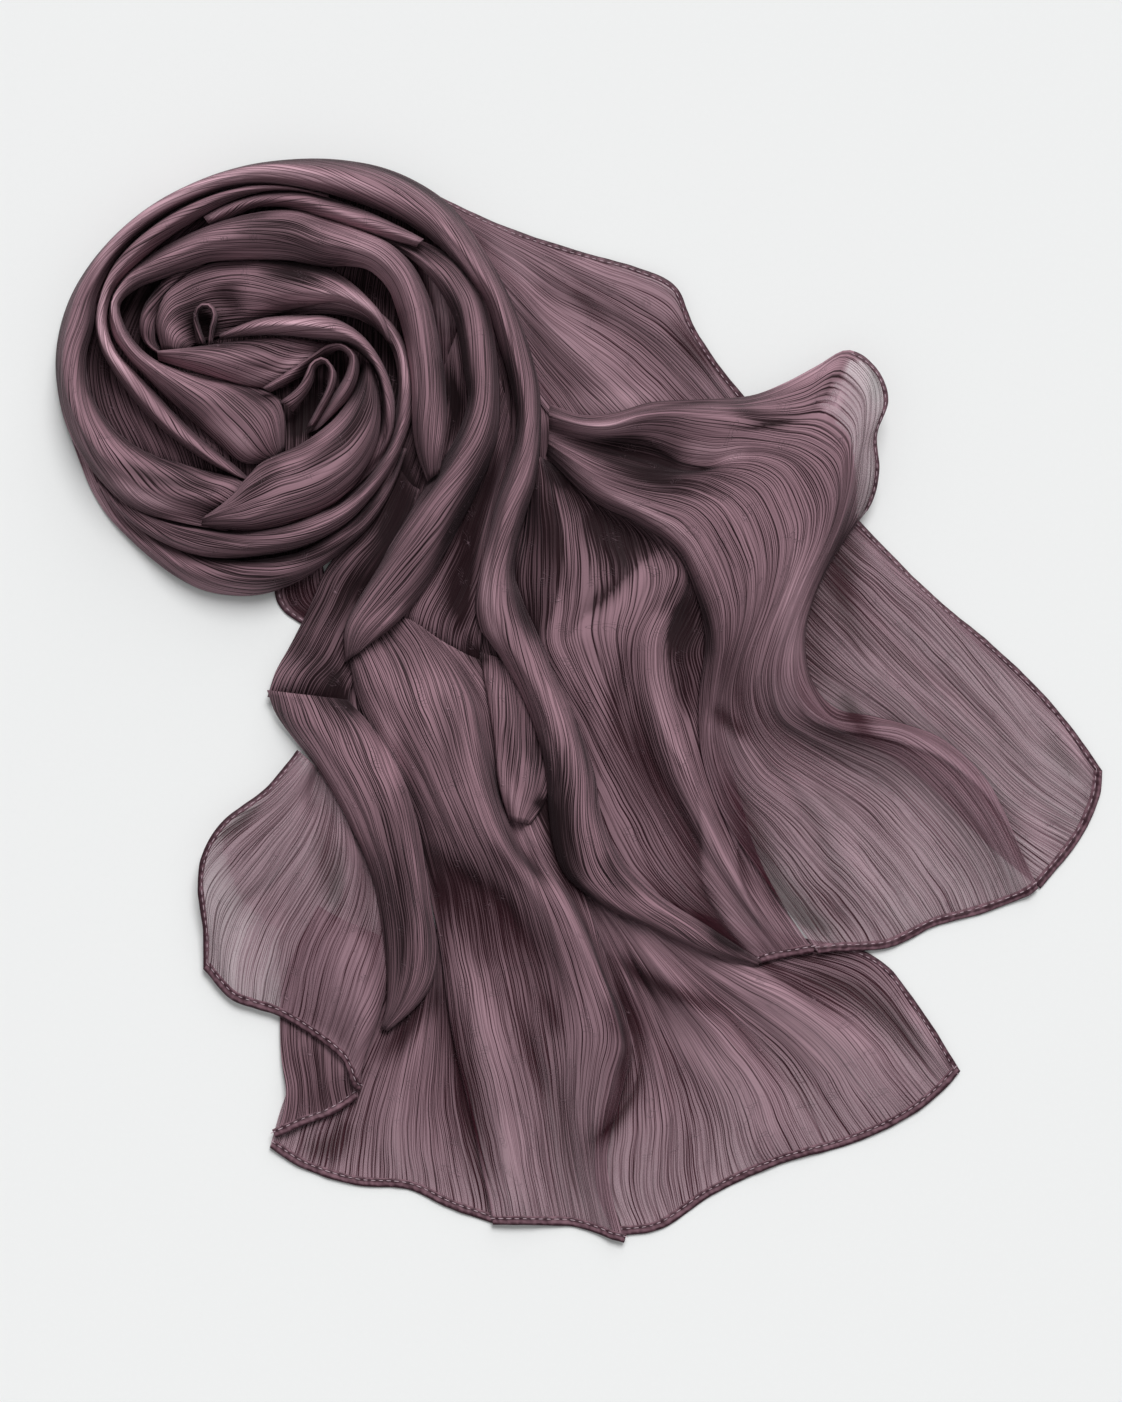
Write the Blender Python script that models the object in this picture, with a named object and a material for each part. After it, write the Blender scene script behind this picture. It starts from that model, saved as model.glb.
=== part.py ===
"""A chiffon scarf laid down in a wound coil with two spread ends.

The scarf is one long panel with narrow turned hems. Every stretch of it that
shows is its own thin wall: the turns of the coil, the rolls that stream out of
it, and the flat ends. Each stretch is lofted from a short table. A rolled
stretch has one row for each section across it. A spread stretch has one row for
each fold line along it. The stretches are listed from the lowest to the
highest, then settled on one another so that each rests on what lies below it.
"""

import math
from collections import namedtuple

import bpy
import numpy as np
from mathutils import Vector
from mathutils.bvhtree import BVHTree

PLAN = 0.0007  # metres in one plan unit of the tables
RISE = 0.001  # metres in one height unit of the tables
MID_X = 579.0  # plan units, the column over the middle of the cloth
MID_Y = 699.0  # plan units, the row over the middle of the cloth, counted forwards

WALL = 0.00115  # thickness of the cloth's wall
HEM_WALL = 0.0021  # thickness where the cloth is turned twice at a hem
HEM_WIDTH = 0.0060  # turned hem across a short end
EDGE_WIDTH = 0.0035  # turned hem along a long side
SEAM = 0.00034  # clear gap between two walls that lie on each other
MARGIN = 0.00042  # extra room for the flat faces between two points
LEAST_COS = 0.34  # steepest wall that is still thickened in full
ROOM = 0.0017  # height kept free for each layer that lies below
LEAST_TURN = 4e-7  # least turn that a corner of a face keeps in plan, in square metres
OPENING_ROUNDS = 80  # the most rounds of easing that open up tight bends

# A section across a rolled stretch: its two edges in plan, their heights, and
# the height of the crest between them.
Section = namedtuple("Section", "left_x left_y right_x right_y left_z right_z crest_z")
# A station on a fold line.
Station = namedtuple("Station", "x y z")
# How a stretch is built: its table, kind, points across and along, the hemmed
# sides and its colour.
Stretch = namedtuple("Stretch", "name kind rows across along hems tone")

HIDDEN_LAYERS = (
    (
        (190, 197, 2), (112, 264, 2), (68, 370, 2), (92, 468, 2), (160, 549, 2),
    ),
    (
        (240, 180, 2), (158, 270, 20), (118, 370, 22), (148, 455, 20), (202, 572, 2),
    ),
    (
        (300, 174, 2), (240, 280, 28), (220, 375, 28), (235, 450, 26), (250, 580, 2),
    ),
    (
        (360, 182, 2), (330, 285, 30), (318, 375, 26), (315, 460, 26), (300, 566, 2),
    ),
    (
        (408, 200, 2), (400, 300, 28), (398, 390, 26), (375, 460, 22), (343, 540, 2),
    ),
    (
        (440, 228, 2), (470, 300, 20), (478, 390, 18), (445, 455, 12), (392, 498, 2),
    ),
)

CORNER_TAB = (
    (
        (276, 572, 3), (276, 598, 2), (284, 611, 2), (299, 622, 2), (320, 634, 3),
    ),
    (
        (292, 572, 6), (293, 592, 5), (299, 603, 4), (311, 612, 4), (326, 622, 5),
    ),
    (
        (323, 566, 9), (326, 584, 8), (329, 594, 7), (334, 602, 7), (340, 608, 7),
    ),
)

UNDER_STREAMS = (
    (
        (398, 436, 2), (372, 505, 2), (340, 560, 2), (326, 592, 2), (334, 628, 2), (342, 664, 2),
        (344, 700, 2), (366, 742, 2), (398, 790, 2),
    ),
    (
        (430, 400, 4), (412, 470, 5), (386, 535, 5), (368, 590, 5), (382, 645, 4), (404, 698, 4),
        (428, 758, 4), (450, 808, 3), (474, 856, 2),
    ),
    (
        (458, 330, 5), (464, 405, 6), (452, 480, 6), (436, 545, 6), (432, 606, 5), (456, 668, 5),
        (482, 730, 5), (510, 800, 4), (545, 868, 2),
    ),
    (
        (482, 284, 4), (502, 345, 5), (518, 410, 5), (516, 480, 5), (498, 555, 5), (488, 618, 5),
        (508, 690, 5), (536, 760, 4), (584, 908, 2),
    ),
    (
        (496, 300, 2), (526, 348, 2), (552, 404, 2), (558, 450, 2), (544, 505, 2), (534, 560, 2),
        (532, 612, 2), (548, 672, 2), (570, 745, 2), (592, 830, 2), (612, 912, 2),
    ),
)

LONG_SIDE = (
    (
        (437, 196, 8), (500, 225, 5), (560, 246, 3), (620, 264, 4), (660, 277, 6), (681, 293, 7),
        (690, 320, 5), (716, 362, 3), (748, 402, 2), (800, 458, 1), (859, 521, 2), (925, 589, 2),
        (1003, 655, 2), (1057, 710, 2), (1102, 771, 1.5),
    ),
    (
        (446, 208, 15), (506, 243, 9), (566, 275, 6), (622, 302, 9), (660, 325, 9), (683, 345, 6),
        (706, 372, 3), (735, 408, 2), (775, 455, 1), (822, 505, 2), (873, 555, 5), (935, 610, 6),
        (1000, 680, 5), (1048, 738, 4), (1100, 792, 1.5),
    ),
    (
        (452, 222, 18), (505, 262, 9), (555, 300, 3), (600, 322, 3), (640, 345, 4), (670, 372, 2),
        (700, 405, 2), (735, 445, 2), (775, 495, 1), (818, 548, 3), (868, 605, 2), (930, 665, 2),
        (990, 727, 3), (1035, 775, 2), (1092, 815, 1.5),
    ),
    (
        (458, 236, 22), (503, 280, 14), (545, 325, 11), (585, 362, 10), (622, 392, 8),
        (655, 420, 3), (692, 455, 2), (730, 497, 2), (770, 545, 2), (815, 600, 5), (866, 655, 6),
        (922, 708, 5), (978, 762, 5), (1022, 805, 4), (1081, 837, 1.5),
    ),
    (
        (462, 250, 22), (498, 298, 12), (530, 345, 5), (562, 390, 3), (600, 428, 2), (640, 465, 2),
        (685, 505, 2), (725, 550, 2), (765, 600, 2), (806, 652, 4), (852, 692, 3), (905, 730, 2),
        (960, 778, 2), (1003, 820, 3), (1064, 860, 1.5),
    ),
    (
        (464, 262, 20), (490, 312, 12), (515, 362, 6), (545, 410, 3), (585, 452, 2), (630, 495, 2),
        (675, 540, 2), (715, 585, 2), (750, 632, 2), (782, 682, 2), (830, 722, 2), (885, 752, 2),
        (940, 795, 2), (985, 842, 2), (1040, 888, 1.5),
    ),
)

LOWER_RIGHT = (
    (
        (570, 884, 4), (596, 975, 2), (608, 1055, 1), (598, 1130, 1), (595, 1180, 1),
        (614, 1236, 1),
    ),
    (
        (580, 890, 12), (625, 985, 13), (648, 1060, 12), (655, 1130, 9), (650, 1180, 5),
        (662, 1228, 1.5),
    ),
    (
        (587, 888, 8), (645, 985, 3), (682, 1060, 2), (703, 1130, 1), (708, 1165, 1),
        (712, 1195, 1),
    ),
    (
        (593, 886, 15), (665, 975, 15), (720, 1040, 13), (755, 1100, 9), (770, 1140, 5),
        (782, 1163, 1.5),
    ),
    (
        (597, 884, 12), (685, 965, 4), (755, 1025, 2), (805, 1080, 1), (828, 1115, 1),
        (847, 1145, 1),
    ),
    (
        (602, 882, 18), (700, 952, 20), (790, 1002, 17), (852, 1052, 11), (880, 1085, 6),
        (908, 1117, 1.5),
    ),
    (
        (606, 880, 14), (705, 938, 8), (800, 975, 3), (868, 1015, 3), (905, 1050, 2),
        (941, 1092, 1.5),
    ),
    (
        (610, 876, 10), (705, 915, 4), (800, 938, 3), (876, 957, 3), (919, 1007, 3),
        (960, 1071, 1.5),
    ),
)

LOWER_LEFT = (
    (
        (425, 885, 4), (365, 960, 2), (312, 1040, 4), (284, 1100, 5), (270, 1147, 2.5),
    ),
    (
        (430, 900, 8), (385, 985, 4), (345, 1060, 3), (318, 1120, 2), (303, 1168, 1.5),
    ),
    (
        (433, 915, 9), (408, 1000, 6), (382, 1075, 5), (365, 1130, 3), (357, 1185, 1.5),
    ),
    (
        (436, 928, 13), (425, 1010, 14), (415, 1085, 11), (408, 1140, 7), (408, 1189, 1.5),
    ),
    (
        (440, 938, 8), (440, 1015, 4), (440, 1090, 2), (443, 1150, 1), (450, 1208, 1),
    ),
    (
        (446, 948, 4), (456, 1020, 1.5), (470, 1100, 1), (483, 1160, 1), (496, 1224, 1),
    ),
)

LEFT_MIDDLE = (
    (
        (318, 905, 6), (283, 985, 7), (281, 1050, 8), (286, 1105, 8), (276, 1137, 5.5),
    ),
    (
        (335, 915, 8), (306, 990, 8), (300, 1050, 7), (305, 1095, 6), (303, 1125, 4.5),
    ),
    (
        (355, 925, 9), (334, 995, 8), (326, 1050, 8), (328, 1088, 7), (332, 1114, 5),
    ),
    (
        (380, 935, 10), (372, 1000, 10), (360, 1045, 10), (357, 1075, 9), (358, 1097, 6),
    ),
)

VALLEY_BETWEEN = (
    (
        (500, 380, 20), (470, 470, 16), (425, 550, 10), (398, 610, 9), (390, 640, 6),
    ),
    (
        (506, 400, 24), (480, 490, 13), (445, 565, 7), (418, 612, 8), (412, 640, 6),
    ),
    (
        (510, 420, 24), (488, 510, 12), (462, 580, 7), (440, 622, 9), (436, 650, 6),
    ),
    (
        (512, 440, 22), (492, 530, 15), (478, 595, 12), (460, 632, 12), (455, 660, 6),
    ),
    (
        (512, 460, 18), (498, 560, 10), (488, 610, 8), (482, 640, 6), (478, 670, 4),
    ),
)

INNER_RIGHT = (
    (
        (530, 455, 18), (526, 520, 8), (515, 580, 5), (525, 640, 5), (556, 710, 4), (578, 780, 4),
        (600, 845, 4), (672, 918, 3), (761, 963, 2),
    ),
    (
        (540, 458, 22), (552, 520, 21), (554, 580, 20), (545, 640, 17), (580, 710, 9),
        (612, 780, 6), (648, 845, 4), (702, 908, 3), (766, 961, 2),
    ),
    (
        (548, 462, 16), (575, 515, 12), (580, 575, 14), (570, 635, 18), (597, 705, 13),
        (632, 775, 8), (668, 840, 4), (716, 905, 2), (770, 960, 1.5),
    ),
    (
        (560, 470, 12), (602, 525, 12), (612, 570, 15), (605, 625, 19), (618, 700, 9),
        (645, 775, 4), (680, 840, 2), (726, 902, 1.5), (774, 959, 1.5),
    ),
    (
        (592, 493, 10), (646, 541, 12), (655, 585, 19), (635, 635, 17), (637, 705, 7),
        (660, 775, 4), (695, 840, 3), (735, 900, 2), (779, 958, 1.5),
    ),
    (
        (620, 510, 12), (685, 552, 20), (674, 598, 23), (657, 645, 19), (662, 710, 18),
        (682, 775, 17), (711, 840, 14), (745, 900, 8), (787, 957, 1.5),
    ),
    (
        (645, 520, 8), (698, 565, 16), (690, 608, 12), (674, 655, 22), (684, 715, 24),
        (704, 780, 23), (728, 840, 18), (757, 898, 9), (796, 955, 1.5),
    ),
    (
        (655, 525, 4), (718, 580, 5), (722, 620, 3), (716, 672, 4), (722, 725, 5), (738, 790, 4),
        (755, 848, 3), (778, 896, 2), (814, 952, 1.5),
    ),
)

SWEEP = (
    (
        (550, 406, 12), (590, 418, 14), (650, 404, 13), (705, 401, 14), (755, 396, 14),
        (803, 375, 16), (850, 352, 19), (886, 392, 24), (874, 440, 22), (877, 482, 15),
        (862, 518, 7), (836, 545, 5), (812, 595, 4), (800, 645, 4), (803, 680, 4), (828, 705, 4),
        (880, 718, 5), (940, 738, 5), (990, 785, 4), (1015, 838, 3), (1038, 888, 1.5),
    ),
    (
        (549, 411, 18), (590, 424, 24), (650, 410, 27), (705, 407, 27), (755, 403, 24),
        (807, 384, 24), (843, 366, 24), (868, 395, 32), (862, 440, 33), (859, 480, 28),
        (847, 521, 20), (823, 560, 15), (804, 612, 15), (793, 660, 15), (796, 697, 14),
        (835, 720, 14), (900, 730, 13), (960, 772, 12), (1000, 830, 10), (1030, 894, 1.5),
    ),
    (
        (549, 418, 24), (595, 430, 31), (655, 420, 34), (715, 424, 35), (772, 432, 37),
        (822, 440, 38), (846, 462, 38), (842, 510, 33), (815, 570, 29), (793, 625, 27),
        (783, 670, 25), (792, 707, 21), (835, 732, 17), (900, 755, 13), (955, 805, 11),
        (990, 855, 8), (1010, 903, 1.5),
    ),
    (
        (549, 430, 14), (600, 441, 9), (652, 452, 9), (700, 468, 12), (745, 458, 31),
        (790, 470, 37), (812, 510, 36), (800, 570, 32), (778, 628, 28), (766, 675, 22),
        (775, 715, 14), (822, 750, 6), (885, 785, 3), (932, 835, 2), (962, 880, 2),
        (976, 915, 1.5),
    ),
    (
        (549, 440, 17), (600, 463, 21), (650, 478, 22), (700, 480, 24), (742, 497, 33),
        (768, 545, 34), (762, 605, 30), (746, 655, 24), (742, 705, 15), (765, 750, 9),
        (815, 790, 7), (868, 835, 7), (905, 885, 6), (932, 927, 1.5),
    ),
    (
        (548, 446, 15), (600, 482, 22), (650, 503, 27), (698, 520, 31), (728, 565, 31),
        (735, 620, 28), (725, 670, 21), (718, 715, 13), (735, 770, 10), (780, 820, 9),
        (825, 870, 9), (862, 912, 6), (886, 948, 1.5),
    ),
    (
        (547, 452, 9), (598, 497, 14), (642, 519, 17), (680, 543, 20), (704, 590, 20),
        (714, 640, 18), (710, 690, 12), (708, 740, 8), (728, 800, 4), (765, 858, 3), (800, 905, 2),
        (838, 951, 1.5),
    ),
    (
        (546, 456, 4), (594, 502, 4), (638, 525, 5), (673, 549, 5), (695, 592, 4), (705, 640, 4),
        (700, 690, 4), (700, 745, 3), (718, 805, 2), (752, 862, 1.5), (785, 908, 1.5),
        (818, 953, 1.5),
    ),
)

LEFT_UPPER = (
    (
        (395, 462, 14), (362, 528, 12), (328, 566, 8), (312, 603, 7), (291, 645, 9),
        (273, 680, 11), (268, 697, 9),
    ),
    (
        (402, 472, 18), (378, 535, 20), (346, 580, 20), (328, 620, 20), (309, 660, 21),
        (292, 688, 18), (290, 700, 10),
    ),
    (
        (412, 485, 16), (392, 545, 14), (366, 598, 14), (350, 640, 15), (334, 676, 14),
        (318, 696, 11), (318, 706, 7),
    ),
    (
        (420, 490, 14), (405, 555, 10), (384, 610, 8), (365, 650, 8), (355, 680, 7), (348, 702, 6),
        (350, 714, 4),
    ),
)

LOWER_MAIN = (
    (
        (350, 660, 6), (358, 700, 6), (385, 762, 5), (412, 825, 4), (430, 895, 3), (440, 948, 2),
        (452, 1030, 1), (472, 1120, 1), (493, 1224, 1),
    ),
    (
        (352, 652, 14), (372, 700, 19), (404, 762, 18), (432, 825, 17), (450, 888, 6),
        (458, 948, 7), (478, 1030, 12), (500, 1120, 10), (522, 1224, 1.5),
    ),
    (
        (372, 638, 22), (400, 690, 27), (430, 760, 27), (456, 825, 24), (480, 888, 7),
        (492, 958, 5), (512, 1040, 9), (530, 1125, 6), (550, 1225, 1.5),
    ),
    (
        (402, 618, 25), (440, 680, 30), (462, 755, 30), (485, 825, 28), (512, 890, 13),
        (530, 960, 7), (545, 1040, 11), (555, 1120, 5), (572, 1226, 1),
    ),
    (
        (436, 637, 24), (474, 692, 28), (492, 765, 30), (512, 835, 29), (545, 900, 24),
        (568, 965, 21), (583, 1040, 19), (578, 1105, 9), (588, 1180, 3), (600, 1234, 1),
    ),
    (
        (466, 654, 18), (500, 712, 23), (516, 778, 25), (536, 845, 25), (568, 905, 25),
        (598, 970, 24), (617, 1040, 20), (602, 1100, 10), (600, 1180, 3), (612, 1239, 1),
    ),
    (
        (486, 663, 8), (518, 728, 9), (530, 792, 8), (552, 855, 8), (582, 915, 8), (606, 981, 7),
        (626, 1043, 6), (617, 1091, 4), (602, 1152, 2), (617, 1240, 1),
    ),
    (
        (492, 668, 4), (528, 735, 4), (548, 795, 4), (570, 855, 4), (592, 915, 4), (612, 980, 3),
        (632, 1042, 2), (623, 1090, 1.5), (607, 1151, 1), (624, 1242, 1),
    ),
)

BULGE_ROLL = (
    (480, 652, 512, 662, 6, 4, 12), (488, 700, 534, 705, 8, 4, 17), (495, 745, 548, 752, 8, 3, 19),
    (500, 790, 545, 800, 6, 3, 15), (510, 820, 530, 824, 3, 3, 8),
)

LEFT_FLAP = (
    (
        (298, 750, 8), (264, 791, 9), (226, 819, 13), (205, 850, 14), (199, 887, 12),
        (204, 926, 9), (204, 968, 5),
    ),
    (
        (308, 758, 12), (280, 805, 14), (248, 855, 14), (228, 905, 11), (226, 950, 10),
        (231, 998, 5),
    ),
    (
        (318, 770, 16), (303, 830, 17), (285, 890, 15), (276, 950, 13), (276, 1014, 5),
    ),
    (
        (330, 785, 18), (332, 850, 19), (324, 915, 18), (318, 975, 16), (318, 1039, 6),
    ),
    (
        (342, 802, 18), (360, 865, 22), (366, 935, 23), (358, 1000, 21), (346, 1064, 10),
    ),
    (
        (348, 816, 12), (373, 876, 17), (384, 945, 19), (378, 1004, 18), (359, 1059, 14),
        (354, 1087, 9),
    ),
    (
        (353, 813, 8), (379, 874, 10), (389, 945, 11), (383, 1006, 10), (364, 1062, 8),
        (359, 1090, 6),
    ),
)

LEFT_LOWER = (
    (268, 690, 348, 700, 8, 5, 20), (279, 718, 374, 728, 5, 6, 25), (304, 750, 396, 763, 4, 7, 27),
    (330, 787, 412, 802, 5, 8, 27), (352, 828, 423, 848, 6, 7, 25), (372, 876, 431, 902, 5, 6, 22),
    (382, 924, 437, 950, 5, 5, 20), (387, 972, 431, 986, 5, 5, 18),
    (386, 1010, 408, 1014, 5, 5, 12), (381, 1028, 388, 1030, 4, 4, 6),
)

STREAM_LEFT = (
    (368, 240, 360, 230, 38, 38, 40), (405, 256, 400, 238, 36, 36, 43),
    (430, 280, 438, 250, 32, 30, 44), (448, 305, 468, 274, 26, 26, 45),
    (458, 330, 486, 306, 22, 22, 45), (463, 365, 496, 347, 18, 18, 44),
    (468, 402, 500, 402, 16, 14, 42), (456, 440, 496, 446, 16, 12, 40),
    (436, 470, 480, 486, 16, 10, 38), (416, 503, 462, 522, 14, 8, 35),
    (392, 543, 442, 560, 12, 7, 32), (370, 583, 424, 592, 10, 7, 29),
    (350, 615, 404, 617, 8, 8, 27), (343, 642, 384, 636, 6, 10, 24),
    (346, 662, 364, 650, 4, 8, 14),
)

COIL_UNDER_TURN = (
    (72, 440, 84, 446, 3, 12, 14), (84, 472, 102, 476, 2, 13, 18),
    (100, 505, 124, 502, 1.5, 14, 20), (125, 534, 152, 528, 1.5, 14, 22),
    (155, 561, 182, 546, 1.5, 14, 23), (197, 588, 215, 557, 1.5, 14, 24),
    (240, 596, 250, 560, 1.5, 14, 24), (280, 590, 285, 556, 1.5, 14, 24),
    (312, 574, 308, 549, 2, 14, 23), (342, 553, 334, 532, 4, 15, 23),
    (372, 525, 362, 508, 6, 16, 24), (394, 488, 382, 478, 8, 16, 24),
    (408, 450, 396, 446, 10, 16, 22),
)

COIL_LOWER_TURN = (
    (98, 484, 110, 478, 12, 14, 18), (122, 514, 138, 504, 13, 16, 25),
    (160, 541, 170, 520, 14, 18, 29), (205, 557, 207, 525, 14, 18, 32),
    (255, 557, 252, 530, 14, 18, 33), (305, 547, 300, 520, 14, 18, 34),
    (345, 526, 338, 501, 14, 18, 35), (378, 491, 367, 472, 14, 18, 36),
    (401, 452, 387, 440, 14, 18, 37), (414, 410, 397, 405, 14, 18, 38),
    (413, 370, 397, 368, 14, 18, 39), (403, 340, 387, 340, 16, 20, 40),
    (383, 315, 370, 326, 20, 20, 40), (350, 299, 347, 317, 24, 18, 38),
    (308, 299, 308, 316, 26, 18, 35), (270, 309, 274, 321, 24, 18, 30),
    (242, 329, 246, 333, 20, 18, 24),
)

COIL_INNER_EDGE = (
    (205, 262, 206, 268, 20, 22, 26), (172, 274, 180, 284, 16, 20, 28),
    (151, 297, 164, 305, 14, 18, 29), (141, 322, 158, 327, 14, 18, 30),
    (143, 340, 158, 344, 14, 18, 30), (158, 354, 168, 352, 16, 18, 28),
    (184, 358, 186, 353, 18, 18, 24),
)

COIL_INNER_TURN = (
    (393, 347, 388, 343, 20, 20, 24), (386, 322, 372, 320, 20, 22, 34),
    (366, 297, 345, 305, 20, 22, 38), (337, 274, 312, 308, 20, 20, 39),
    (300, 262, 285, 314, 20, 18, 38), (250, 257, 262, 322, 20, 16, 37),
    (211, 265, 240, 330, 20, 14, 36), (181, 283, 218, 338, 18, 14, 35),
    (163, 305, 196, 345, 17, 14, 34), (157, 333, 190, 350, 16, 14, 32),
    (164, 353, 186, 354, 16, 15, 26),
)

COIL_THIRD_TURN = (
    (205, 219, 212, 228, 18, 16, 21), (232, 205, 238, 218, 20, 17, 26),
    (262, 196, 262, 209, 22, 18, 28), (300, 192, 300, 213, 22, 18, 34),
    (340, 203, 338, 225, 22, 20, 36), (383, 221, 378, 239, 24, 24, 37),
    (425, 243, 418, 250, 28, 28, 34),
)

COIL_WIDE_TURN = (
    (440, 474, 428, 482, 10, 12, 16), (447, 428, 414, 440, 12, 14, 30),
    (446, 390, 413, 400, 14, 14, 34), (440, 345, 409, 358, 16, 14, 37),
    (430, 300, 398, 314, 20, 16, 40), (408, 262, 384, 284, 26, 16, 42),
    (378, 240, 360, 268, 28, 16, 43), (338, 226, 335, 270, 20, 16, 43),
    (300, 213, 300, 264, 18, 16, 42), (250, 217, 250, 262, 18, 16, 41),
    (205, 230, 212, 264, 18, 16, 40), (165, 248, 180, 275, 17, 15, 38),
    (128, 270, 146, 288, 16, 15, 36), (113, 295, 123, 300, 15, 15, 33),
    (110, 322, 126, 325, 15, 14, 32), (120, 347, 143, 351, 14, 14, 33),
    (140, 370, 166, 366, 14, 15, 34), (170, 400, 206, 377, 14, 16, 36),
    (205, 432, 246, 385, 14, 16, 37), (238, 459, 280, 402, 14, 15, 36),
    (262, 472, 292, 428, 12, 13, 31), (274, 464, 286, 452, 11, 11, 17),
)

COIL_SECOND_TURN = (
    (330, 197, 330, 201, 20, 20, 22), (290, 189, 290, 193, 19, 19, 25),
    (250, 187, 250, 198, 18, 18, 30), (200, 199, 203, 219, 17, 16, 34),
    (160, 220, 170, 240, 16, 15, 35), (130, 244, 143, 262, 15, 15, 34),
    (112, 270, 121, 284, 15, 15, 33), (101, 300, 111, 303, 15, 15, 31),
    (97, 326, 109, 330, 14, 15, 30), (103, 352, 121, 357, 13, 15, 30),
    (120, 381, 144, 380, 12, 14, 30), (145, 413, 172, 410, 12, 14, 30),
    (175, 440, 206, 443, 12, 14, 30), (205, 461, 236, 466, 13, 14, 28),
    (238, 478, 252, 481, 13, 13, 20),
)

OUTER_TURN = (
    (762, 961, 755, 966, 2, 2, 4), (742, 948, 708, 953, 3, 3, 9), (702, 922, 650, 928, 4, 3, 13),
    (656, 892, 596, 901, 4, 4, 17), (622, 858, 561, 868, 5, 4, 19), (603, 818, 550, 820, 6, 4, 22),
    (594, 771, 545, 766, 7, 4, 25), (579, 728, 531, 716, 8, 5, 26), (563, 690, 510, 672, 8, 6, 27),
    (545, 654, 488, 638, 9, 7, 28), (531, 616, 476, 618, 10, 8, 30),
    (517, 590, 478, 588, 10, 10, 32), (517, 551, 487, 546, 10, 11, 34),
    (527, 511, 496, 503, 11, 12, 36), (537, 476, 508, 466, 12, 13, 38),
    (541, 434, 517, 430, 12, 14, 39), (539, 386, 512, 390, 12, 15, 39),
    (525, 336, 500, 348, 14, 18, 39), (506, 291, 487, 306, 20, 22, 39),
    (482, 249, 463, 274, 22, 26, 38), (452, 208, 438, 248, 10, 24, 36),
    (402, 175, 398, 222, 4, 22, 38), (350, 161, 350, 203, 2, 20, 38),
    (300, 159, 300, 190, 1.5, 19, 37), (250, 165, 252, 187, 1.5, 18, 36),
    (200, 181, 206, 199, 1.5, 17, 35), (160, 201, 170, 216, 1.5, 16, 34),
    (125, 227, 138, 240, 1.5, 15, 34), (95, 259, 114, 267, 1.5, 15, 34),
    (72, 295, 99, 299, 1.5, 15, 34), (60, 330, 95, 330, 1.5, 14, 34),
    (56, 370, 88, 368, 1.5, 14, 34), (61, 405, 96, 402, 2, 14, 34), (73, 440, 120, 434, 6, 14, 35),
    (95, 473, 152, 455, 12, 15, 36), (126, 504, 190, 467, 16, 16, 37),
    (162, 519, 226, 477, 18, 16, 36), (202, 527, 248, 482, 18, 17, 30),
    (228, 532, 262, 492, 16, 16, 20),
)

COIL_CENTRE = (
    (160, 353, 160, 362, 16, 14, 20), (200, 349, 200, 374, 20, 14, 30),
    (250, 342, 250, 387, 20, 14, 31), (288, 340, 283, 389, 20, 14, 31),
    (318, 343, 310, 369, 20, 16, 31), (342, 346, 336, 353, 18, 16, 24),
)

CORE_LOOP_EDGE = (
    (199, 346, 208.8, 346, 16, 16, 22), (196.5, 333, 203.5, 332, 16, 16, 27),
    (195, 320, 200.5, 319, 16, 16, 28), (198.5, 309, 202.5, 312.5, 16, 16, 29),
    (206.5, 305, 207, 310, 16, 16, 29), (215, 307, 211.5, 311.5, 16, 16, 29),
    (219.5, 316, 214, 317.5, 16, 16, 28), (217, 331, 211, 330, 16, 16, 27),
    (213.5, 347, 209.8, 347, 16, 16, 22),
)

COIL_LIP = (
    (222, 336, 222, 342, 20, 18, 24), (256, 322, 258, 338, 22, 18, 34),
    (300, 318, 299, 339, 24, 18, 38), (340, 322, 335, 345, 24, 18, 40),
    (368, 342, 359, 353, 22, 18, 41), (386, 370, 376, 374, 20, 18, 41),
    (396, 402, 382, 402, 18, 18, 41), (392, 440, 377, 434, 18, 20, 40),
    (374, 470, 360, 458, 18, 24, 37), (350, 493, 338, 482, 18, 28, 33),
)

COIL_FRONT_TURN = (
    (203, 527, 205, 519, 18, 18, 21), (250, 532, 231, 501, 18, 18, 33),
    (300, 521, 262, 465, 18, 17, 38), (340, 501, 300, 447, 18, 16, 40),
    (366, 472, 331, 424, 18, 15, 40), (381, 434, 351, 397, 20, 15, 39),
    (381, 400, 360, 376, 20, 15, 34), (374, 368, 364, 362, 18, 16, 22),
)

LOOP_STRAND = (
    (271.6, 393.9, 263.9, 389.3, 16, 18, 22), (294.5, 382, 290.7, 372.4, 14, 20, 28),
    (314.6, 369.6, 313.7, 357.1, 14, 20, 32), (327, 357.6, 328, 347.2, 14, 20, 33),
    (339.5, 351.2, 342.4, 345.1, 14, 20, 34), (349.6, 358.1, 357.7, 355.2, 14, 20, 33),
    (346.2, 376.3, 360.9, 372.4, 13, 18, 31), (333.2, 395.4, 352.9, 395.4, 13, 16, 28),
    (320.5, 414.5, 337.6, 412.6, 13, 15, 24), (308, 433.7, 318.4, 430.8, 13, 14, 18),
)

LOOP_INNER = (
    (293.6, 412.6, 282.1, 402.1, 14, 16, 20), (307, 397.3, 299.3, 388.7, 14, 16, 25),
    (315.2, 380.1, 307.9, 374.4, 14, 16, 28), (318.4, 367.1, 315.6, 361.5, 14, 16, 29),
    (325.1, 364.8, 326.1, 359.4, 14, 16, 29), (329.9, 372.4, 337, 372.4, 14, 16, 29),
    (328, 387.7, 337.6, 383.9, 13, 15, 27), (319, 406.9, 328.5, 405, 13, 14, 24),
    (307.5, 428.5, 316, 426.5, 13, 14, 18),
)
TONES = {
    "thin": (0.33, 0.24, 0.27, 1.0),
    "fold": (0.22, 0.14, 0.17, 1.0),
    "deep": (0.13, 0.08, 0.10, 1.0),
}

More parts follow.
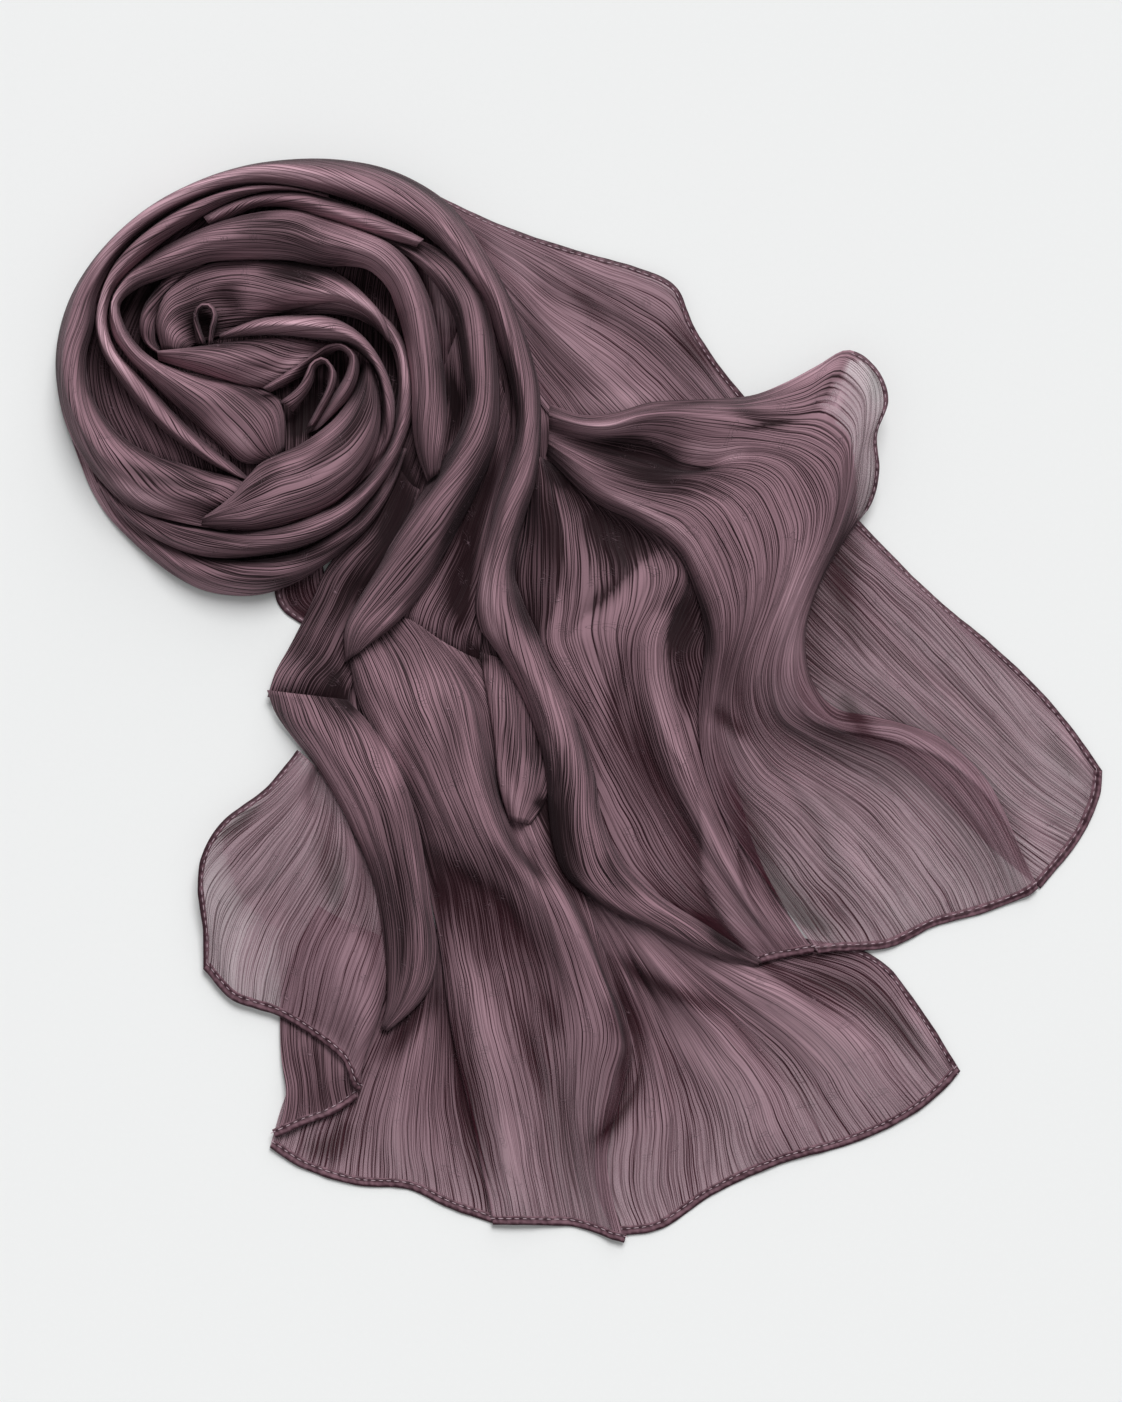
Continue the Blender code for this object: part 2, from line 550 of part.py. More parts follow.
STRETCHES = (
    Stretch("hidden_layers", "heap", HIDDEN_LAYERS, 0.036, 11, (), "deep"),
    Stretch("corner_tab", "folds", CORNER_TAB, 0.012, 7, ("first",), "thin"),
    Stretch("under_streams", "folds", UNDER_STREAMS, 0.030, 12, (), "deep"),
    Stretch("long_side", "folds", LONG_SIDE, 0.020, 22, ("first", "end"), "thin"),
    Stretch("lower_right", "folds", LOWER_RIGHT, 0.020, 12, ("last", "end"), "thin"),
    Stretch("lower_left", "folds", LOWER_LEFT, 0.018, 10, ("end",), "fold"),
    Stretch("left_middle", "folds", LEFT_MIDDLE, 0.016, 8, ("end",), "fold"),
    Stretch("valley_between", "folds", VALLEY_BETWEEN, 0.016, 9, (), "deep"),
    Stretch("inner_right", "folds", INNER_RIGHT, 0.014, 16, ("end",), "fold"),
    Stretch("sweep", "folds", SWEEP, 0.014, 30, ("end",), "fold"),
    Stretch("left_upper", "folds", LEFT_UPPER, 0.016, 11, (), "fold"),
    Stretch("lower_main", "folds", LOWER_MAIN, 0.014, 17, ("end",), "fold"),
    Stretch("bulge_roll", "roll", BULGE_ROLL, 6, 8, (), "fold"),
    Stretch("left_flap", "folds", LEFT_FLAP, 0.014, 11, ("first", "end"), "thin"),
    Stretch("left_lower", "roll", LEFT_LOWER, 7, 14, (), "fold"),
    Stretch("stream_left", "roll", STREAM_LEFT, 7, 17, (), "fold"),
    Stretch("coil_under_turn", "roll", COIL_UNDER_TURN, 6, 17, (), "fold"),
    Stretch("coil_lower_turn", "roll", COIL_LOWER_TURN, 6, 22, (), "fold"),
    Stretch("coil_inner_edge", "roll", COIL_INNER_EDGE, 5, 9, (), "deep"),
    Stretch("coil_inner_turn", "roll", COIL_INNER_TURN, 7, 17, (), "fold"),
    Stretch("coil_third_turn", "roll", COIL_THIRD_TURN, 5, 10, (), "fold"),
    Stretch("coil_wide_turn", "roll", COIL_WIDE_TURN, 7, 27, (), "fold"),
    Stretch("coil_second_turn", "roll", COIL_SECOND_TURN, 6, 20, (), "fold"),
    Stretch("outer_turn", "roll", OUTER_TURN, 7, 52, (), "fold"),
    Stretch("coil_centre", "roll", COIL_CENTRE, 6, 10, (), "fold"),
    Stretch("core_loop_edge", "roll", CORE_LOOP_EDGE, 5, 12, (), "fold"),
    Stretch("coil_lip", "roll", COIL_LIP, 6, 16, (), "fold"),
    Stretch("coil_front_turn", "roll", COIL_FRONT_TURN, 6, 13, (), "fold"),
    Stretch("loop_strand", "roll", LOOP_STRAND, 5, 14, (), "fold"),
    Stretch("loop_inner", "roll", LOOP_INNER, 5, 12, (), "deep"),
)


def clear_scene():
    """Empty the scene of everything it started with."""
    for obj in list(bpy.context.scene.objects):
        bpy.data.objects.remove(obj, do_unlink=True)


def in_metres(stations):
    """Turn table stations into points in metres about the middle of the cloth."""
    table = np.array(stations, dtype=float)
    return np.column_stack(
        ((table[:, 0] - MID_X) * PLAN, (MID_Y - table[:, 1]) * PLAN, table[:, 2] * RISE)
    )


def curve_through(knots, values, at):
    """A smooth curve through the values at uneven knots, read at other places."""
    values = np.asarray(values, dtype=float)
    wide = (...,) + (None,) * (values.ndim - 1)
    step = np.diff(knots)
    chords = np.diff(values, axis=0) / step[wide]
    slopes = np.empty_like(values)
    slopes[0] = chords[0]
    slopes[-1] = chords[-1]
    if len(knots) > 2:
        share = (step[1:] / (step[:-1] + step[1:]))[wide]
        slopes[1:-1] = chords[:-1] * share + chords[1:] * (1.0 - share)
    cell = np.clip(np.searchsorted(knots, at, side="right") - 1, 0, len(knots) - 2)
    width = step[cell]
    t = ((at - knots[cell]) / width)[wide]
    width = width[wide]
    return (
        (2 * t**3 - 3 * t**2 + 1) * values[cell]
        + (t**3 - 2 * t**2 + t) * width * slopes[cell]
        + (3 * t**2 - 2 * t**3) * values[cell + 1]
        + (t**3 - t**2) * width * slopes[cell + 1]
    )


def run_of(points):
    """Where each point lies along its line in plan, from 0 to 1."""
    steps = np.hypot(*np.diff(points[:, :2], axis=0).T)
    run = np.concatenate(([0.0], np.cumsum(np.maximum(steps, 1e-6))))
    return run / run[-1]


def places_along(count, hemmed, length):
    """Even places from 0 to 1, with a pair of them at the inner edge of a hem."""
    inner = HEM_WIDTH / length
    if not hemmed:
        return np.linspace(0.0, 1.0, count)
    return np.concatenate((np.linspace(0.0, 1.0 - 1.35 * inner, count), (1.0 - inner, 1.0)))


def opened(grid):
    """Ease a grid apart in plan wherever a face would turn back over its neighbour."""
    grid = grid.copy()
    for _ in range(OPENING_ROUNDS):
        plan = grid[:, :, :2]
        ring = (plan[:-1, :-1], plan[1:, :-1], plan[1:, 1:], plan[:-1, 1:])
        turns = []
        for corner in range(4):
            out = ring[(corner + 1) % 4] - ring[corner]
            back = ring[corner - 1] - ring[corner]
            turns.append(out[..., 0] * back[..., 1] - out[..., 1] * back[..., 0])
        turns = np.array(turns)
        tight = (turns * np.sign(np.median(turns))).min(axis=0) < LEAST_TURN
        if not tight.any():
            break
        near = np.zeros(grid.shape[:2], dtype=bool)
        for rows in (slice(0, -1), slice(1, None)):
            for columns in (slice(0, -1), slice(1, None)):
                near[rows, columns] |= tight
        mean = plan.copy()
        mean[1:-1] += (plan[:-2] + plan[2:] - 2 * plan[1:-1]) / 4
        mean[:, 1:-1] += (plan[:, :-2] + plan[:, 2:] - 2 * plan[:, 1:-1]) / 4
        plan[near] = mean[near]
    return grid


def loft_folds(stretch):
    """A spread stretch: fold lines side by side, joined by a smooth surface."""
    folds = [in_metres([Station(*station) for station in fold]) for fold in stretch.rows]
    length = np.mean([np.hypot(*np.diff(f[:, :2], axis=0).T).sum() for f in folds])
    along = places_along(stretch.along, "end" in stretch.hems, length)
    lines = np.array([curve_through(run_of(fold), fold, along) for fold in folds])
    gaps = np.linalg.norm(np.diff(lines, axis=0), axis=2).mean(axis=1)
    knots = np.concatenate(([0.0], np.cumsum(gaps)))
    width = knots[-1]
    across = set(knots / width)
    for low, high in zip(knots, knots[1:]):
        parts = max(1, round((high - low) / stretch.across))
        across |= {(low + (high - low) * part / parts) / width for part in range(1, parts)}
    if "first" in stretch.hems:
        across |= {EDGE_WIDTH / width, 1.4 * EDGE_WIDTH / width}
    if "last" in stretch.hems:
        across |= {1.0 - EDGE_WIDTH / width, 1.0 - 1.4 * EDGE_WIDTH / width}
    across = np.array(sorted(across))
    grid = opened(curve_through(knots / width, lines, across))
    return grid, across, along


def loft_roll(stretch):
    """A rolled stretch: arched sections set along its length."""
    rows = [Section(*row) for row in stretch.rows]
    left = in_metres([(row.left_x, row.left_y, row.left_z) for row in rows])
    right = in_metres([(row.right_x, row.right_y, row.right_z) for row in rows])
    crest = np.array([row.crest_z for row in rows]) * RISE
    knots = run_of((left + right) / 2)
    along = np.linspace(0.0, 1.0, stretch.along)
    left = curve_through(knots, left, along)
    right = curve_through(knots, right, along)
    crest = curve_through(knots, crest, along)
    turn = np.linspace(0.0, math.pi, stretch.across)
    across = 0.5 * (1.0 - np.cos(turn)) * 0.55 + 0.45 * turn / math.pi
    grid = left[None] + (right - left)[None] * across[:, None, None]
    lift = crest - (left[:, 2] + right[:, 2]) / 2
    grid[:, :, 2] += np.sin(math.pi * across)[:, None] ** 0.8 * lift[None]
    return grid, across, along


class Sheet:
    """One stretch of cloth as a grid of points at the middle of its wall."""

    def __init__(self, stretch):
        self.stretch = stretch
        build = loft_roll if stretch.kind == "roll" else loft_folds
        self.grid, self.across, self.along = build(stretch)
        self.walls = np.full(self.grid.shape[:2], WALL)
        if "first" in stretch.hems:
            self.walls[:2] = HEM_WALL
        if "last" in stretch.hems:
            self.walls[-2:] = HEM_WALL
        if "end" in stretch.hems:
            self.walls[:, -2:] = HEM_WALL
        self.rest_on_floor()

    def halves(self):
        """Half the wall's upright thickness at each point, more where it is steep."""
        du = np.gradient(self.grid, axis=0)
        dv = np.gradient(self.grid, axis=1)
        normal = np.cross(du, dv)
        length = np.linalg.norm(normal, axis=2)
        cosine = np.abs(normal[:, :, 2]) / np.maximum(length, 1e-12)
        return self.walls / 2 / np.maximum(cosine, LEAST_COS)

    def rest_on_floor(self):
        """Keep the wall's underside on or above the floor."""
        half = self.halves()
        self.grid[:, :, 2] = np.maximum(self.grid[:, :, 2], half)

    def skins(self):
        """The upper and the lower grid of the wall."""
        half = self.halves()
        upper = self.grid.copy()
        lower = self.grid.copy()
        upper[:, :, 2] += half
        lower[:, :, 2] -= half
        low = lower[:, :, 2]
        lower[:, :, 2] = np.where(low < 0.0004, 0.0, low)
        if self.stretch.kind == "heap":
            lower[:, :, 2] = 0.0
        return upper, lower

    def fine(self, grid, times=4):
        """Points spread evenly over the grid's faces, each with its cell."""
        rows, columns = grid.shape[:2]
        t = np.linspace(0.0, 1.0, times + 1)
        found = []
        for a in t:
            for b in t:
                spot = (
                    grid[:-1, :-1] * (1 - a) * (1 - b)
                    + grid[1:, :-1] * a * (1 - b)
                    + grid[:-1, 1:] * (1 - a) * b
                    + grid[1:, 1:] * a * b
                )
                found.append(spot)
        points = np.stack(found, axis=2).reshape((rows - 1) * (columns - 1), -1, 3)
        cells = [(i, j) for i in range(rows - 1) for j in range(columns - 1)]
        return points, cells


def faces_of(rows, columns, flip=False):
    """The triangles of a grid, indexed row by row."""
    faces = []
    for i in range(rows - 1):
        for j in range(columns - 1):
            a = i * columns + j
            b = a + columns
            pair = ((a, b, b + 1), (a, b + 1, a + 1))
            faces += [face[::-1] for face in pair] if flip else list(pair)
    return faces


def tree_of(grid):
    """A search tree over a grid's triangles."""
    points = [Vector(point) for point in grid.reshape(-1, 3)]
    return BVHTree.FromPolygons(points, faces_of(*grid.shape[:2]))


UP = Vector((0.0, 0.0, 1.0))
DOWN = Vector((0.0, 0.0, -1.0))


def box_of(grid):
    flat = grid.reshape(-1, 3)[:, :2]
    return flat.min(axis=0), flat.max(axis=0)


def meet(first, second):
    """Whether two plan boxes meet."""
    return bool(np.all(first[0] <= second[1]) and np.all(second[0] <= first[1]))


def spread(needed, rounds, up):
    """Ease a field of moves into its neighbours without making any smaller."""
    for _ in range(rounds):
        padded = np.pad(needed, 1, mode="edge")
        eased = (
            padded[:-2, 1:-1] + padded[2:, 1:-1] + padded[1:-1, :-2] + padded[1:-1, 2:]
        ) / 4
        needed = np.maximum(needed, eased * up)
    return needed


def press_down(sheets):
    """Lower each hidden part of a sheet below the sheets that lie on it."""
    for index in range(len(sheets) - 2, -1, -1):
        sheet = sheets[index]
        upper, _ = sheet.skins()
        box = box_of(upper)
        above = [
            tree_of(other.skins()[1])
            for other in sheets[index + 1 :]
            if meet(box, box_of(other.grid))
        ]
        below = [tree_of(other.grid) for other in sheets[:index] if meet(box, box_of(other.grid))]
        points, cells = sheet.fine(upper)
        drop = np.zeros(sheet.grid.shape[:2])
        for spots, (i, j) in zip(points, cells):
            worst = 0.0
            for spot in spots:
                start = Vector((spot[0], spot[1], -1.0))
                for tree in above:
                    hit = tree.ray_cast(start, UP)[0]
                    if hit is not None:
                        worst = max(worst, spot[2] - (hit.z - SEAM - MARGIN))
            if worst > 0.0:
                drop[i : i + 2, j : j + 2] = np.maximum(drop[i : i + 2, j : j + 2], worst)
        drop = spread(drop, 2, 0.9)
        half = sheet.halves()
        for i in range(drop.shape[0]):
            for j in range(drop.shape[1]):
                if drop[i, j] <= 0.0:
                    continue
                x, y, z = sheet.grid[i, j]
                start = Vector((x, y, 1.0))
                layers = sum(tree.ray_cast(start, DOWN)[0] is not None for tree in below)
                least = min(half[i, j] + ROOM * layers, z)
                sheet.grid[i, j, 2] = max(z - drop[i, j], least)
        sheet.rest_on_floor()


def lift_up(sheets):
    """Raise each sheet just clear of everything it lies on, lowest first."""
    for index, sheet in enumerate(sheets):
        sheet.rest_on_floor()
        for _ in range(3):
            upper, lower = sheet.skins()
            box = box_of(lower)
            tops = [
                other.skins()[0] for other in sheets[:index] if meet(box, box_of(other.grid))
            ]
            below = [tree_of(top) for top in tops]
            crests = np.concatenate([top.reshape(-1, 3) for top in tops]) if tops else []
            points, cells = sheet.fine(lower)
            lift = np.zeros(sheet.grid.shape[:2])
            for spots, (i, j) in zip(points, cells):
                worst = 0.0
                for spot in spots:
                    start = Vector((spot[0], spot[1], 1.0))
                    for tree in below:
                        hit = tree.ray_cast(start, DOWN)[0]
                        if hit is not None:
                            worst = max(worst, hit.z + SEAM + MARGIN - spot[2])
                if worst > 0.0:
                    lift[i : i + 2, j : j + 2] = np.maximum(lift[i : i + 2, j : j + 2], worst)
            under = tree_of(lower)
            for point in crests:
                hit, _, face, _ = under.ray_cast(Vector((point[0], point[1], -1.0)), UP)
                if hit is not None and hit.z < point[2] + SEAM + MARGIN:
                    i, j = divmod(face // 2, lower.shape[1] - 1)
                    need = point[2] + SEAM + MARGIN - hit.z
                    lift[i : i + 2, j : j + 2] = np.maximum(lift[i : i + 2, j : j + 2], need)
            if lift.max() <= 1e-6:
                break
            sheet.grid[:, :, 2] += spread(lift, 2, 0.9)


def solid_of(sheet):
    """The points and faces of the closed wall between a sheet's two skins."""
    upper, lower = sheet.skins()
    rows, columns = sheet.grid.shape[:2]
    count = rows * columns
    points = np.concatenate((upper.reshape(-1, 3), lower.reshape(-1, 3)))
    centre = upper[rows // 2, columns // 2]
    du = upper[rows // 2 + 1, columns // 2] - centre
    dv = upper[rows // 2, columns // 2 + 1] - centre
    outward = np.cross(du, dv)[2] > 0.0
    faces = faces_of(rows, columns, flip=not outward)
    faces += [tuple(i + count for i in face) for face in faces_of(rows, columns, flip=outward)]
    rim = [i * columns for i in range(rows)]
    rim += [(rows - 1) * columns + j for j in range(1, columns)]
    rim += [i * columns + columns - 1 for i in range(rows - 2, -1, -1)]
    rim += [j for j in range(columns - 2, 0, -1)]
    for here, there in zip(rim, rim[1:] + rim[:1]):
        pair = ((here, here + count, there + count), (here, there + count, there))
        faces += [face[::-1] for face in pair] if not outward else list(pair)
    return points, faces


def material(name, colour):
    """A plain cloth material."""
    made = bpy.data.materials.new(name)
    made.use_nodes = True
    shader = made.node_tree.nodes["Principled BSDF"]
    shader.inputs["Base Color"].default_value = colour
    shader.inputs["Roughness"].default_value = 0.85
    shader.inputs["Metallic"].default_value = 0.0
    return made


def add_solid(name, points, faces, colour):
    """Make one named object with its own material from points and faces."""
    mesh = bpy.data.meshes.new(name)
    mesh.from_pydata([tuple(map(float, point)) for point in points], [], faces)
    mesh.update()
    mesh.shade_smooth()
    obj = bpy.data.objects.new(name, mesh)
    mesh.materials.append(material(name, colour))
    bpy.context.collection.objects.link(obj)
    return obj


def main():
    clear_scene()
    sheets = [Sheet(stretch) for stretch in STRETCHES]
    press_down(sheets)
    lift_up(sheets)
    built = [(sheet.stretch.name, *solid_of(sheet), TONES[sheet.stretch.tone]) for sheet in sheets]
    every = np.concatenate([points for _, points, _, _ in built])
    middle = (every.min(axis=0) + every.max(axis=0)) / 2
    for name, points, faces, colour in built:
        add_solid(name, points - np.array((middle[0], middle[1], 0.0)), faces, colour)


main()
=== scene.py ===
"""Dress the laid chiffon scarf: sheer crinkled cloth, turned hems, stitches and studio."""

from __future__ import annotations

import logging
import math
import operator
from dataclasses import dataclass, field
from enum import Enum
from functools import reduce
from typing import Any, NamedTuple

import bpy
import numpy as np
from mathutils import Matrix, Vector
from mathutils.bvhtree import BVHTree

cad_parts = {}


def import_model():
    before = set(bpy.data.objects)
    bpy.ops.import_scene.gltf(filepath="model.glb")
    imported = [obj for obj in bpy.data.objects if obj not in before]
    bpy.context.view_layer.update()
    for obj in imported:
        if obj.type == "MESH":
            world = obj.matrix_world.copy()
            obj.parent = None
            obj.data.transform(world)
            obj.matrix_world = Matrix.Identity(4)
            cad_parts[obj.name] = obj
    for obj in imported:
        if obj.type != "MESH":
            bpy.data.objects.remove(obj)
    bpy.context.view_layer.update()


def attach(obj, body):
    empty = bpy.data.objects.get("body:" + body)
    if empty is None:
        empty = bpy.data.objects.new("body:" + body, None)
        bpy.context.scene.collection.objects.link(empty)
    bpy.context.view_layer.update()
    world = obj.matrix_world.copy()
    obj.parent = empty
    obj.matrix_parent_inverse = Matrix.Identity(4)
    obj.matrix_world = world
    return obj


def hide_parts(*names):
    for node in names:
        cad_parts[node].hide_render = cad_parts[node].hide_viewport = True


LOG = logging.getLogger("scarf")

PLAN = 0.0007  # metres in one plan unit of the tables
RISE = 0.001  # metres in one height unit of the tables
MID_X, MID_Y = 579.0, 699.0  # the scarf's middle in the tables' plan
UP = Vector((0.0, 0.0, 1.0))
DOWN = Vector((0.0, 0.0, -1.0))
OFF_FLOOR = 0.0001  # how far the cloth's lowest points stay off the floor

Line = list[tuple[float, ...]]
Colour = tuple[float, float, float, float]


class Lay(Enum):
    """How a stretch is made up."""

    FOLDS = "folds"
    ROLL = "roll"
    HEAP = "heap"


class Side(Enum):
    """A hemmed side of a stretch."""

    FIRST = "first"
    LAST = "last"
    END = "end"


class Section(NamedTuple):
    """A section across a rolled stretch: its edges in plan, their heights and its crest."""

    left_x: float
    left_y: float
    right_x: float
    right_y: float
    left_z: float
    right_z: float
    crest_z: float


class Pleat(NamedTuple):
    """A soft pleat that runs along a stretch, its height and width in millimetres.

    The other numbers are shares of the stretch's width and length.
    """

    across: float
    height: float
    width: float
    wander: float
    start: float
    end: float


class Crease(NamedTuple):
    """A soft ridge, or a trough where its height is negative, given in plan, with painted light on
    the ridge and painted shade in the trough.
    """

    cloths: list[str]
    height: float
    width: float
    line: Line


class Stroke(NamedTuple):
    """A soft stroke of painted light or painted shade on the cloth along a line in plan."""

    cloths: list[str]
    width: float
    tone: float
    line: Line


class Lap(NamedTuple):
    """A fold's edge given in plan: raised on the left of its line, with a painted highlight there
    and a painted shadow on its right.
    """

    cloths: list[str]
    height: float
    width: float
    shade: float
    dark: float
    line: Line


class Veil(NamedTuple):
    """A part of a stretch, outlined in plan, where the cloth is sheerer."""

    cloths: list[str]
    cover: float
    outline: Line


# ---------------------------------------------------------------- tables

# Each line of a spread stretch is one fold line, of points "x,y,height". A rolled stretch is
# one run of sections, with the numbers that Section names. Plan and height are in table units.

